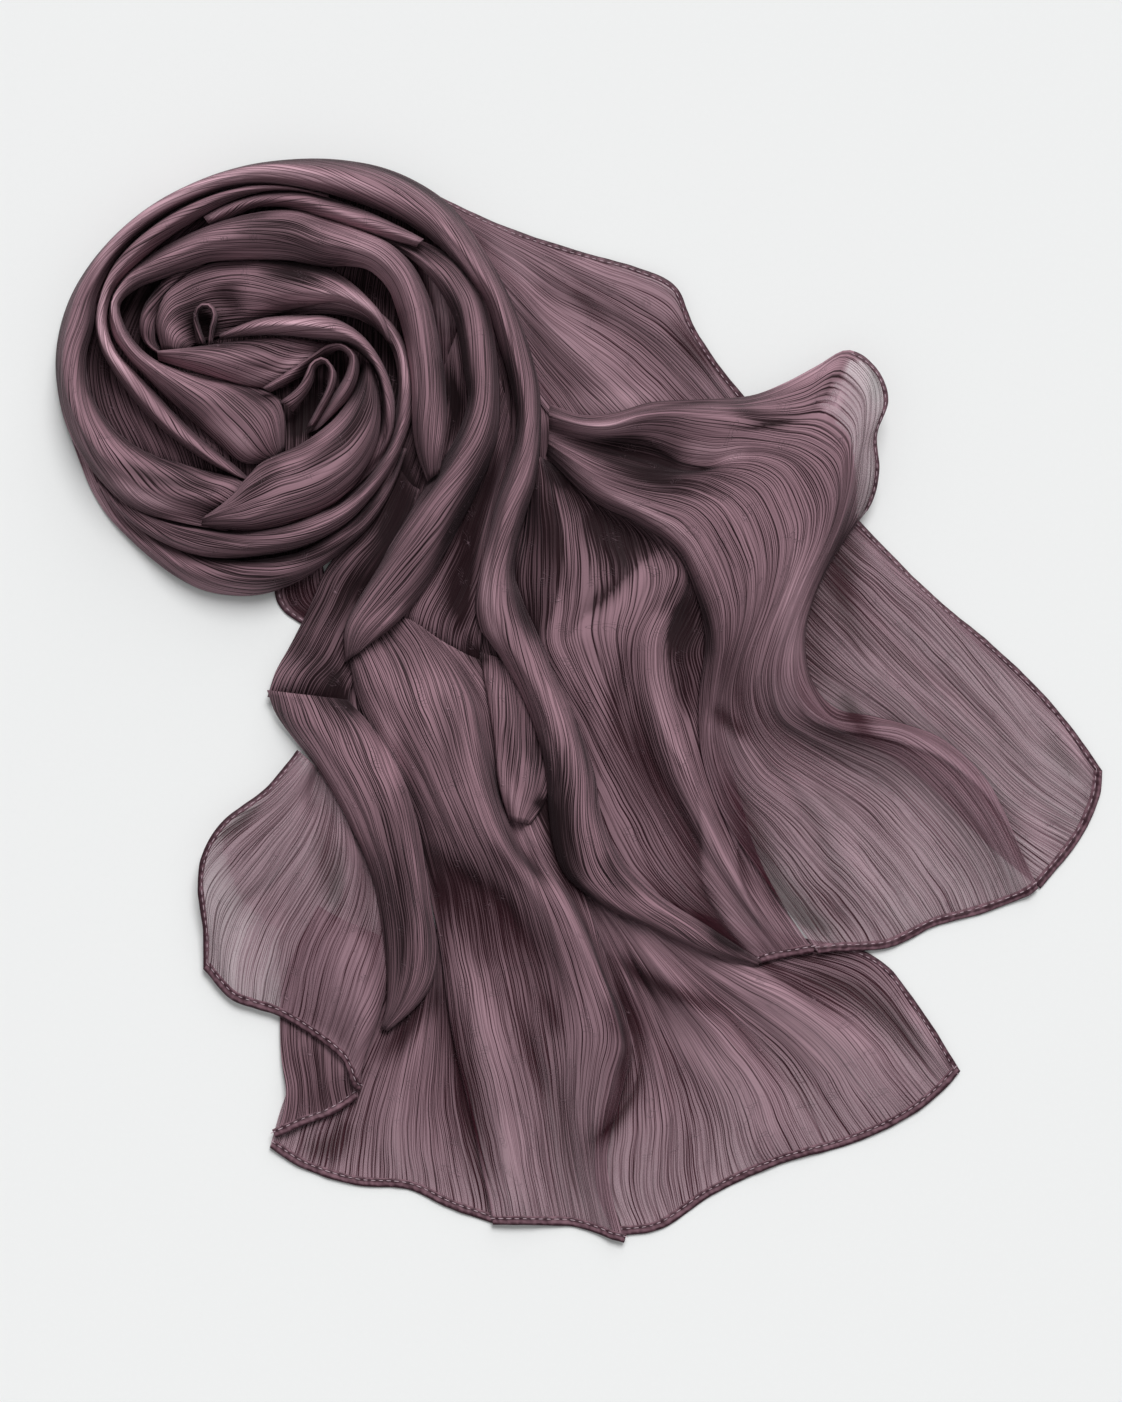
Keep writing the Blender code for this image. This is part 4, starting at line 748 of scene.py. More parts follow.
@dataclass
class Stretch:
    """One stretch of cloth that shows, lofted from its table.

    The grid holds the points at the middle of the wall: its first axis runs across the
    cloth and its second along it.
    """

    name: str
    lay: Lay
    across_step: float
    along_count: int
    hems: tuple[Side, ...] = ()
    pleats: str = ""
    cover: tuple[float, float] = (0.9, 0.9)
    skew: float = 0.0
    # gloom: how strongly painted shade darkens the steep sides and the closed-in hollows
    gloom: float = 1.0
    part_hems: tuple[Side, ...] = ()
    hem_span: tuple[float, float] = (0.0, 1.0)
    wall: float = 0.00115
    hem_wall: float = 0.0021
    hem_width: float = 0.0060
    edge_width: float = 0.0035
    least_cos: float = 0.34
    sealed: float = 0.0004
    grid: np.ndarray = field(init=False, repr=False)
    across: np.ndarray = field(init=False, repr=False)
    along: np.ndarray = field(init=False, repr=False)
    walls: np.ndarray = field(init=False, repr=False)

    def __post_init__(self) -> None:
        """Loft the grid and set its wall."""
        rows = rows_of(TABLES[self.name])
        if self.lay is Lay.ROLL:
            self.loft_roll([Section(*numbers) for row in rows for numbers in row])
        else:
            self.loft_folds([in_metres(row) for row in rows])
        self.walls = np.full(self.grid.shape[:2], self.wall)
        if Side.FIRST in self.hems:
            self.walls[:2] = self.hem_wall
        if Side.LAST in self.hems:
            self.walls[-2:] = self.hem_wall
        if Side.END in self.hems:
            self.walls[:, -2:] = self.hem_wall
        self.rest_on_floor()

    def loft_folds(self, folds: list[np.ndarray]) -> None:
        """Loft a spread stretch: fold lines side by side, joined by a smooth surface.

        Args:
            folds: Each fold line's points, in metres.
        """
        length = np.mean([np.hypot(*np.diff(f[:, :2], axis=0).T).sum() for f in folds])
        inner = self.hem_width / length
        self.along = np.linspace(0.0, 1.0, self.along_count)
        if Side.END in self.hems:
            self.along = np.concatenate((self.along * (1.0 - 1.35 * inner), (1.0 - inner, 1.0)))
        lines = np.array([curve_through(run_of(fold), fold, self.along) for fold in folds])
        gaps = np.linalg.norm(np.diff(lines, axis=0), axis=2).mean(axis=1)
        knots = np.concatenate(([0.0], np.cumsum(gaps)))
        width = knots[-1]
        spots = set(knots / width)
        for low, high in zip(knots, knots[1:]):
            parts = max(1, round((high - low) / self.across_step))
            spots |= {(low + (high - low) * part / parts) / width for part in range(1, parts)}
        edge = self.edge_width / width
        if Side.FIRST in self.hems:
            spots |= {edge, 1.4 * edge}
        if Side.LAST in self.hems:
            spots |= {1.0 - edge, 1.0 - 1.4 * edge}
        self.across = np.array(sorted(spots))
        self.grid = opened(curve_through(knots / width, lines, self.across))

    def loft_roll(self, rows: list[Section]) -> None:
        """Loft a rolled stretch: arched sections set along its length.

        Args:
            rows: The sections, in table units.
        """
        left = in_metres([(row.left_x, row.left_y, row.left_z) for row in rows])
        right = in_metres([(row.right_x, row.right_y, row.right_z) for row in rows])
        crest = np.array([row.crest_z for row in rows]) * RISE
        knots = run_of((left + right) / 2)
        self.along = np.linspace(0.0, 1.0, self.along_count)
        lines = (left, right, crest)
        left, right, crest = (curve_through(knots, line, self.along) for line in lines)
        turn = np.linspace(0.0, math.pi, int(self.across_step))
        self.across = 0.5 * (1.0 - np.cos(turn)) * 0.55 + 0.45 * turn / math.pi
        self.grid = left[None] + (right - left)[None] * self.across[:, None, None]
        lift = crest - (left[:, 2] + right[:, 2]) / 2
        self.grid[:, :, 2] += np.sin(math.pi * self.across)[:, None] ** 0.8 * lift[None]

    def halves(self) -> np.ndarray:
        """Return half the wall's upright thickness, more where the cloth is steep.

        Returns:
            The half thickness at each point.
        """
        normal = np.cross(np.gradient(self.grid, axis=0), np.gradient(self.grid, axis=1))
        length = np.linalg.norm(normal, axis=2)
        cosine = np.abs(normal[:, :, 2]) / np.maximum(length, 1e-12)
        return self.walls / 2 / np.maximum(cosine, self.least_cos)

    def rest_on_floor(self) -> None:
        """Keep the wall's underside on or above the floor."""
        self.grid[:, :, 2] = np.maximum(self.grid[:, :, 2], self.halves())

    def skins(self) -> tuple[np.ndarray, np.ndarray]:
        """Return the upper and the lower grid of the wall.

        Returns:
            The two grids.
        """
        half = self.halves()
        upper, lower = self.grid.copy(), self.grid.copy()
        upper[:, :, 2] += half
        lower[:, :, 2] -= half
        low = lower[:, :, 2]
        lower[:, :, 2] = np.where(low < self.sealed, 0.0, low)
        if self.lay is Lay.HEAP:
            lower[:, :, 2] = 0.0
        return upper, lower


@dataclass(frozen=True)
class Settling:
    """Lays the stretches on one another, lowest first."""

    seam: float = 0.00034
    margin: float = 0.00042
    room: float = 0.0017
    spots: int = 4

    def fine(self, grid: np.ndarray) -> tuple[np.ndarray, list[tuple[int, int]]]:
        """Spread points evenly over a grid's faces.

        Args:
            grid: The grid of points.

        Returns:
            The points of each cell, and the cells.
        """
        rows, columns = grid.shape[:2]
        t = np.linspace(0.0, 1.0, self.spots + 1)
        found = [
            grid[:-1, :-1] * (1 - a) * (1 - b)
            + grid[1:, :-1] * a * (1 - b)
            + grid[:-1, 1:] * (1 - a) * b
            + grid[1:, 1:] * a * b
            for a in t
            for b in t
        ]
        points = np.stack(found, axis=2).reshape((rows - 1) * (columns - 1), -1, 3)
        return points, [(i, j) for i in range(rows - 1) for j in range(columns - 1)]

    def press_down(self, cloths: list[Stretch]) -> None:
        """Lower each hidden part of a stretch below those that lie on it.

        Args:
            cloths: The stretches, lowest first.
        """
        for index in range(len(cloths) - 2, -1, -1):
            cloth = cloths[index]
            upper, _ = cloth.skins()
            higher = [other for other in cloths[index + 1 :] if meet(upper, other.grid)]
            above = [tree_of(other.skins()[1]) for other in higher]
            below = [tree_of(other.grid) for other in cloths[:index] if meet(upper, other.grid)]
            drop = np.zeros(cloth.grid.shape[:2])
            for spots, (i, j) in zip(*self.fine(upper)):
                over = [
                    z - (met - self.seam - self.margin)
                    for x, y, z in spots
                    for met in heights_met(above, x, y, UP)
                ]
                raise_around(drop, i, j, max(over, default=0.0))
            drop = eased(drop, 2, 0.9)
            half = cloth.halves()
            for i, j in zip(*np.nonzero(drop > 0.0)):
                x, y, z = cloth.grid[i, j]
                layers = len(heights_met(below, x, y, DOWN))
                least = min(half[i, j] + self.room * layers, z)
                cloth.grid[i, j, 2] = max(z - drop[i, j], least)
            cloth.rest_on_floor()

    def lift_up(self, cloths: list[Stretch]) -> None:
        """Raise each stretch just clear of everything that it lies on.

        Args:
            cloths: The stretches, lowest first.
        """
        for index, cloth in enumerate(cloths):
            cloth.rest_on_floor()
            for _ in range(3):
                _, lower = cloth.skins()
                tops = [other.skins()[0] for other in cloths[:index] if meet(lower, other.grid)]
                below = [tree_of(top) for top in tops]
                lift = np.zeros(cloth.grid.shape[:2])
                for spots, (i, j) in zip(*self.fine(lower)):
                    short = [
                        met + self.seam + self.margin - z
                        for x, y, z in spots
                        for met in heights_met(below, x, y, DOWN)
                    ]
                    raise_around(lift, i, j, max(short, default=0.0))
                under = tree_of(lower)
                for x, y, z in (point for top in tops for point in top.reshape(-1, 3)):
                    hit, _, face, _ = under.ray_cast(Vector((x, y, -1.0)), UP)
                    if hit is not None and hit.z < z + self.seam + self.margin:
                        i, j = divmod(face // 2, lower.shape[1] - 1)
                        raise_around(lift, i, j, z + self.seam + self.margin - hit.z)
                if lift.max() <= 1e-6:
                    break
                cloth.grid[:, :, 2] += eased(lift, 2, 0.9)

    def settle(self, cloths: list[Stretch]) -> np.ndarray:
        """Settle all the stretches and centre them.

        Args:
            cloths: The stretches, lowest first.

        Returns:
            The move that centred them.
        """
        self.press_down(cloths)
        self.lift_up(cloths)
        every = np.concatenate([cloth.grid.reshape(-1, 3) for cloth in cloths])
        middle = (every.min(axis=0) + every.max(axis=0)) / 2
        move = np.array((-middle[0], -middle[1], 0.0))
        for cloth in cloths:
            cloth.grid += move
        return move


@dataclass
class Cloth:
    """The finely made cloth of one stretch: a thin crinkled shell on its solid's form.

    Its painted shading, the painted light and shade of its folds, ridges, edges and hollows,
    lightens the finish above zero and darkens it below.
    """

    stretch: Stretch
    move: np.ndarray
    seed: int
    pitch_across: float = 0.0015
    pitch_along: float = 0.0042
    shell: float = 0.00036
    crinkle: float = 0.00030
    drifts: tuple[tuple[float, float, float], ...] = ((0.004, 9.0, 11.0), (0.0012, 40.0, 34.0))
    broad_cells: tuple[float, float] = (95.0, 6.0)
    narrow_cells: tuple[float, float] = (210.0, 11.0)
    # How strongly creases, laps, ridges, crowns, steep sides, edges and sheer parts paint light or
    # shade into the colour.
    crease_painted_shading: float = 0.10
    lap_painted_highlight: float = 0.07
    ridge_painted_shading: float = 0.10
    crown_painted_shading: float = 0.12
    steep_painted_shade: float = 0.36
    edge_painted_light: float = 0.26
    edge_reach: float = 0.0042
    sheer_painted_light: float = 0.40
    clearance: float = 0.00022
    lap_overhang: float = 0.0003
    lap_softness: float = 0.0011
    ridge_height: float = 0.0010
    crown_height: float = 0.0030
    blurs: tuple[float, float, float] = (0.0025, 0.006, 0.016)
    shut_reach: float = 0.034
    shut_steps: tuple[float, float] = (0.0040, 0.0060)
    shut_tilts: tuple[float, float] = (28.0, 58.0)
    shut_turns: int = 8
    shut_start: float = 0.0014
    grid: np.ndarray = field(init=False, repr=False)
    across: np.ndarray = field(init=False, repr=False)
    along: np.ndarray = field(init=False, repr=False)
    cover: np.ndarray = field(init=False, repr=False)
    tone: np.ndarray = field(init=False, repr=False)

    def __post_init__(self) -> None:
        """Refine the settled grid into a smooth one."""
        width, length = mean_size(self.stretch.grid)
        self.across = self.spots(self.stretch.across, width, self.pitch_across)
        self.along = self.spots(self.stretch.along, length, self.pitch_along)
        half = curve_through(self.stretch.across, self.stretch.grid, self.across)
        full = curve_through(self.stretch.along, half.transpose(1, 0, 2), self.along)
        self.grid = full.transpose(1, 0, 2)
        self.tone = np.zeros(self.grid.shape[:2])

    @staticmethod
    def spots(knots: np.ndarray, size: float, pitch: float) -> np.ndarray:
        """Place even spots over a range, about one pitch apart."""
        return np.linspace(knots[0], knots[-1], max(6, round(size / pitch) + 1))

    def run_across(self) -> np.ndarray:
        """Return each point's run across the cloth, in metres, on its mean width.

        Returns:
            Each point's run, in metres.
        """
        width, _ = mean_size(self.stretch.grid)
        steps = np.linalg.norm(np.diff(self.grid, axis=0), axis=2).mean(axis=1)
        run = np.concatenate(([0.0], np.cumsum(steps)))
        return np.repeat((run / run[-1] * width)[:, None], self.grid.shape[1], axis=1)

    def run_along(self) -> np.ndarray:
        """Return each point's run along the cloth, in metres.

        Returns:
            Each point's run, in metres.
        """
        steps = np.linalg.norm(np.diff(self.grid, axis=1), axis=2)
        runs = np.concatenate((np.zeros((self.grid.shape[0], 1)), np.cumsum(steps, axis=1)), axis=1)
        return np.repeat(runs.mean(axis=0, keepdims=True), self.grid.shape[0], axis=0)

    def fade(self, start: float, end: float, soft: float = 0.06) -> np.ndarray:
        """Return a mask along the cloth that rises after start and falls before end.

        Args:
            start: Where it rises, as a share of the length.
            end: Where it falls.
            soft: How long it takes.

        Returns:
            The mask, as one row.
        """
        rise = np.clip((self.along - start) / soft, 0.0, 1.0)
        fall = np.clip((end - self.along) / soft, 0.0, 1.0)
        return (rise * rise * (3 - 2 * rise) * fall * fall * (3 - 2 * fall))[None, :]

    def blurred_by(self, values: np.ndarray, across: float, along: float) -> np.ndarray:
        """Blur values over the cloth by distances in metres."""
        return blurred(values, across / self.pitch_across, along / self.pitch_along)

    def add_pleats(self) -> None:
        """Raise the soft pleats that run along the stretch."""
        width, _ = mean_size(self.stretch.grid)
        lift = np.zeros(self.grid.shape[:2])
        pleats = [Pleat(*numbers) for row in rows_of(self.stretch.pleats) for numbers in row]
        still = self.along * 0.0
        for number, pleat in enumerate(pleats):
            drift = value_noise(self.along * 5.0 + number * 7.3, still + number, self.seed)
            centre = pleat.across + pleat.wander * drift
            far = (self.across[:, None] - centre[None, :]) * width
            shape = np.exp(-((far / (pleat.width * RISE)) ** 2))
            waver = value_noise(self.along * 7.0 + number * 3.1, still + 9.0, self.seed)
            swell = (1.0 + 0.35 * waver)[None, :]
            lift += pleat.height * RISE * shape * swell * self.fade(pleat.start, pleat.end)
        self.grid += normals_of(self.grid) * lift[:, :, None]

    def mine(self, laid: list[Any]) -> list[tuple[Any, np.ndarray, np.ndarray, np.ndarray]]:
        """Pick the listed things that lie on this cloth, with each point's place along its line.

        Args:
            laid: The listed things.

        Returns:
            Each thing, the points' distances from its line, how far along it they lie and
            whether they lie to its left.
        """
        plan = self.grid[:, :, :2] - self.move[:2]
        return [
            (thing, *distance_to_line(plan, smooth_line(thing.line)))
            for thing in laid
            if self.stretch.name in thing.cloths
        ]

    @staticmethod
    def brushed(far: np.ndarray, where: np.ndarray, width: float) -> np.ndarray:
        """Return how strongly a soft stroke, tapered to its ends, touches each point."""
        taper = np.sin(math.pi * np.clip(where, 0.02, 0.98)) ** 0.6
        return taper * np.exp(-((far / (width * PLAN)) ** 2))

    def add_creases(self, creases: list[Crease]) -> None:
        """Raise or sink the listed creases, with painted light where they rise and painted shade
        where they sink.

        Args:
            creases: The creases of the whole scarf.
        """
        lift = np.zeros(self.grid.shape[:2])
        for crease, far, where, _ in self.mine(creases):
            touch = self.brushed(far, where, crease.width)
            lift += crease.height * RISE * touch
            # painted light where the crease rises, painted shade where it sinks
            self.tone += self.crease_painted_shading * crease.height * touch
        self.grid[:, :, 2] += lift

    def add_strokes(self, strokes: list[Stroke]) -> None:
        """Paint light or shade on the cloth along the listed strokes."""
        for stroke, far, where, _ in self.mine(strokes):
            # painted light above zero, painted shade below
            self.tone += stroke.tone * self.brushed(far, where, stroke.width)

    def add_laps(self, laps: list[Lap]) -> None:
        """Raise the edges of the listed folds, with a painted highlight on their raised side and a
        painted shadow beside them.

        Args:
            laps: The folds' edges of the whole scarf.
        """
        for lap, far, where, left in self.mine(laps):
            taper = np.clip(np.sin(math.pi * np.clip(where, 0.01, 0.99)) * 1.6, 0.0, 1.0) ** 0.7
            offset = np.where(left, far, -far)
            shaded = np.clip((self.lap_overhang - offset) / self.lap_softness, 0.0, 1.0)
            raised = np.exp(-((np.maximum(offset, 0.0) / (lap.width * PLAN)) ** 2))
            dim = shaded * np.exp(-((np.maximum(-offset, 0.0) / (lap.shade * PLAN)) ** 1.4))
            painted_highlight = (1.0 - shaded) * np.exp(-((offset / (lap.width * PLAN) - 0.45) ** 2) / 0.16)
            near = taper * (where > 0.0) * (where < 1.0)
            self.grid[:, :, 2] += lap.height * RISE * near * raised * (1.0 - shaded)
            # painted highlight on the raised side, painted shadow beside it
            self.tone += near * (self.lap_painted_highlight * lap.height * painted_highlight - lap.dark * dim)

    def add_crinkles(self) -> None:
        """Raise the small uneven crinkles that run along the cloth."""
        u, v = self.run_across(), self.run_along()
        for number, (reach, across, along) in enumerate(self.drifts, 1):
            u = u + reach * value_noise(u * across, v * along, self.seed + number)
        cells = (self.broad_cells, self.narrow_cells)
        broad, narrow = (
            value_noise(u * across, v * along, self.seed + number)
            for number, (across, along) in enumerate(cells, len(self.drifts) + 1)
        )
        sharp = 1.0 - 2.0 * np.abs(broad) ** 0.8
        lift = self.crinkle * (0.9 * sharp + 0.6 * narrow)
        self.grid += normals_of(self.grid) * lift[:, :, None]

    def rest(self, lowers: list["Cloth"]) -> None:
        """Keep the fine cloth clear of the floor and of what lies under it.

        Args:
            lowers: The finished cloths under this one.
        """
        gap = self.shell + self.clearance
        trees = [tree_of(other.grid) for other in lowers if meet(self.grid, other.grid)]
        lift = np.zeros(self.grid.shape[:2])
        for i, j in np.ndindex(lift.shape):
            x, y, z = self.grid[i, j]
            least = max([self.shell, *(met + gap for met in heights_met(trees, x, y, DOWN))])
            lift[i, j] = max(0.0, least - z)
        self.grid[:, :, 2] += eased(lift, 3, 0.97)

    def set_cover(self, veils: list[Veil]) -> None:
        """Set how much each point of the cloth covers, and paint its light and shade.

        A layer covers more where it is steep. It is painted lighter on its ridges, near its edges
        and where it is sheer, and painted darker in its valleys and on its steep sides.

        Args:
            veils: The parts where the cloth is sheerer.
        """
        start, end = self.stretch.cover
        t = np.clip((self.along - 0.15) / 0.85, 0.0, 1.0)
        share = start + (end - start) * t * t * (3 - 2 * t)
        self.cover = np.repeat(share[None, :], self.grid.shape[0], axis=0)
        plan = self.grid[:, :, :2] - self.move[:2]
        for veil in veils:
            if self.stretch.name in veil.cloths:
                outline = in_metres([(x, y, 0.0) for x, y in veil.outline])[:, :2]
                self.cover[inside(plan, outline)] = veil.cover
        steep = np.maximum(normals_of(self.blurred_by(self.grid, 0.004, 0.004))[:, :, 2], 0.3)
        self.cover = 1.0 - (1.0 - self.cover) ** (1.0 / steep)
        small, near, wide = (
            self.blurred_by(self.grid[:, :, 2], reach, reach) for reach in self.blurs
        )
        ridge = np.clip((small - near) / self.ridge_height, -1.0, 1.0)
        crown = np.clip((near - wide) / self.crown_height, -1.0, 1.0)
        steepness = self.steep_painted_shade * self.stretch.gloom * (1.0 - steep)
        # painted light on ridges and crowns, painted shade in hollows and on steep sides
        self.tone += self.ridge_painted_shading * ridge + self.crown_painted_shading * crown - steepness
        run = self.run_across()
        from_edge = np.minimum(run, run[-1:] - run)
        # painted light near the long edges
        self.tone += self.edge_painted_light * np.exp(-((from_edge / self.edge_reach) ** 2))
        # painted light where the cloth is sheer
        self.tone += self.sheer_painted_light * np.clip(0.92 - self.cover, 0.0, 0.6)

    def shut_in(self, everything: BVHTree) -> None:
        """Paint shade on the cloth where other folds close it in.

        Args:
            everything: A search tree of the whole scarf.
        """
        last_row, last_column = len(self.across) - 1, len(self.along) - 1
        step_across = max(1, round(self.shut_steps[0] / self.pitch_across))
        step_along = max(1, round(self.shut_steps[1] / self.pitch_along))
        rows = np.unique(np.append(np.arange(0, last_row + 1, step_across), last_row))
        columns = np.unique(np.append(np.arange(0, last_column + 1, step_along), last_column))
        spots = self.grid[np.ix_(rows, columns)] + np.array((0.0, 0.0, self.shut_start))
        ways = [
            Vector(
                (math.cos(turn) * math.cos(tilt), math.sin(turn) * math.cos(tilt), math.sin(tilt))
            )
            for tilt in map(math.radians, self.shut_tilts)
            for turn in np.arange(self.shut_turns) * math.tau / self.shut_turns + tilt
        ]
        shut = np.zeros(spots.shape[:2])
        for i, j in np.ndindex(shut.shape):
            start = Vector(spots[i, j])
            for way in ways:
                far = everything.ray_cast(start, way, self.shut_reach)[3]
                if far is not None:
                    shut[i, j] += 1.0 - far / self.shut_reach
        shut /= len(ways)
        half = np.array([np.interp(np.arange(last_column + 1), columns, line) for line in shut])
        full = np.array([np.interp(np.arange(last_row + 1), rows, line) for line in half.T]).T
        full = self.blurred_by(full, 0.0022, 0.0030)
        # painted shade where other folds close the cloth in
        self.tone -= self.stretch.gloom * np.clip(full, 0.0, 1.0)

    def shell_mesh(self, name: str) -> bpy.types.Object:
        """Close the cloth into a thin shell with its run stored as a UV map.

        Args:
            name: The object's name.

        Returns:
            The shell's object.
        """
        normal = normals_of(self.grid)
        upper = self.grid + normal * self.shell / 2
        lower = self.grid - normal * self.shell / 2
        lower[:, :, 2] = np.maximum(lower[:, :, 2], OFF_FLOOR)
        if self.stretch.lay is Lay.HEAP:
            lower[:, :, 2] = OFF_FLOOR
        u = self.run_across() + self.stretch.skew * self.run_along()
        # the painted light and shade go with the shell as a point attribute
        shares = {"cover": self.cover, "tone": self.tone}
        return closed_shell(name, upper, lower, u, self.run_along(), shares)


def in_scene(name: str, data: bpy.types.ID) -> bpy.types.Object:
    """Make an object of a mesh, a lamp or a camera and put it in the scene.

    Args:
        name: The object's name.
        data: The mesh, lamp or camera.

    Returns:
        The object.
    """
    obj = bpy.data.objects.new(name, data)
    bpy.context.scene.collection.objects.link(obj)
    return obj


def closed_shell(
    name: str,
    upper: np.ndarray,
    lower: np.ndarray,
    u: np.ndarray,
    v: np.ndarray,
    shares: dict[str, np.ndarray],
) -> bpy.types.Object:
    """Make a closed mesh between two grids.

    Args:
        name: The object's name.
        upper: The upper grid of points.
        lower: The lower grid of points.
        u: Each point's run across the cloth.
        v: Each point's run along the cloth.
        shares: Values at each point, by the name of their attribute.

    Returns:
        The object, linked to the scene.
    """
    rows, columns = upper.shape[:2]
    count = rows * columns
    points = np.concatenate((upper.reshape(-1, 3), lower.reshape(-1, 3)))
    index = np.arange(count).reshape(rows, columns)
    a, b = index[:-1, :-1].ravel(), index[1:, :-1].ravel()
    c, d = index[1:, 1:].ravel(), index[:-1, 1:].ravel()
    quads = np.stack((a, b, c, d), axis=1)
    i, j = rows // 2, columns // 2
    way = np.cross(upper[i, j] - upper[i - 1, j], upper[i, j] - upper[i, j - 1])[2]
    top = quads if way > 0.0 else quads[:, ::-1]
    bottom = (quads[:, ::-1] if way > 0.0 else quads) + count
    rim = np.concatenate((index[:, 0], index[-1, 1:], index[-2::-1, -1], index[0, -2:0:-1]))
    after = np.roll(rim, -1)
    side = np.stack((rim, rim + count, after + count, after), axis=1)
    side = side if way > 0.0 else side[:, ::-1]
    faces = np.concatenate((top, bottom, side))
    mesh = bpy.data.meshes.new(name)
    mesh.vertices.add(len(points))
    mesh.vertices.foreach_set("co", points.astype(np.float32).ravel())
    mesh.loops.add(len(faces) * 4)
    mesh.loops.foreach_set("vertex_index", faces.astype(np.int32).ravel())
    mesh.polygons.add(len(faces))
    mesh.polygons.foreach_set("loop_start", np.arange(0, len(faces) * 4, 4, dtype=np.int32))
    mesh.update(calc_edges=True)
    runs = np.stack((np.tile(u.ravel(), 2), np.tile(v.ravel(), 2)), axis=1)
    layer = mesh.uv_layers.new(name="run")
    layer.uv.foreach_set("vector", runs[faces.ravel()].astype(np.float32).ravel())
    for label, share in shares.items():
        layer = mesh.attributes.new(label, "FLOAT", "POINT")
        layer.data.foreach_set("value", np.tile(share.ravel(), 2).astype(np.float32))
    mesh.validate()
    mesh.shade_smooth()
    return in_scene(name, mesh)


# ---------------------------------------------------------------- finishes


def new_node(
    tree: bpy.types.NodeTree, kind: str, settings: dict[str, Any], values: dict[Any, Any]
) -> bpy.types.Node:
    """Add a node to a tree.

    Args:
        tree: The tree.
        kind: The node's type.
        settings: Its properties, which are set first.
        values: Its inputs by name or index, as plain values or sockets.

    Returns:
        The node.
    """
    made = tree.nodes.new(kind)
    for key, value in settings.items():
        setattr(made, key, value)
    for key, value in values.items():
        if isinstance(value, bpy.types.NodeSocket):
            tree.links.new(value, made.inputs[key])
        else:
            made.inputs[key].default_value = value
    return made


class Sock:
    """A shader socket whose arithmetic adds Math nodes."""

    def __init__(self, shader: "Shader", socket: bpy.types.NodeSocket) -> None:
        """Wrap a socket of the shader's tree."""
        self.shader = shader
        self.socket = socket

    def math(self, operation: str, *others: Any, first: Any = None) -> "Sock":
        """Add one Math node.

        Args:
            operation: The node's operation.
            others: What follows the first operand.
            first: The first operand, this socket if none.

        Returns:
            The node's output.
        """
        values = [self if first is None else first, *others]
        return self.shader.node("ShaderNodeMath", {"operation": operation}, dict(enumerate(values)))

    def __add__(self, other: Any) -> "Sock":
        """Add."""
        return self.math("ADD", other)

    __radd__ = __add__

    def __mul__(self, other: Any) -> "Sock":
        """Multiply."""
        return self.math("MULTIPLY", other)

    __rmul__ = __mul__

    def __sub__(self, other: Any) -> "Sock":
        """Subtract."""
        return self.math("SUBTRACT", other)

    def __rsub__(self, other: Any) -> "Sock":
        """Subtract from a plain value."""
        return self.math("SUBTRACT", self, first=other)

    def __truediv__(self, other: Any) -> "Sock":
        """Divide."""
        return self.math("DIVIDE", other)

    def __pow__(self, other: Any) -> "Sock":
        """Raise to a power."""
        return self.math("POWER", other)

    def __abs__(self) -> "Sock":
        """Take the size without the sign."""
        return self.math("ABSOLUTE")

    def clamped(self, low: float = 0.0, high: float = 1.0) -> "Sock":
        """Keep the value between two limits."""
        return self.math("MINIMUM", high).math("MAXIMUM", low)

    def line(self, width: float) -> "Sock":
        """Return 1 where the value crosses a half, falling to 0 a width away."""
        return (1.0 - abs(self - 0.5) / width).clamped()


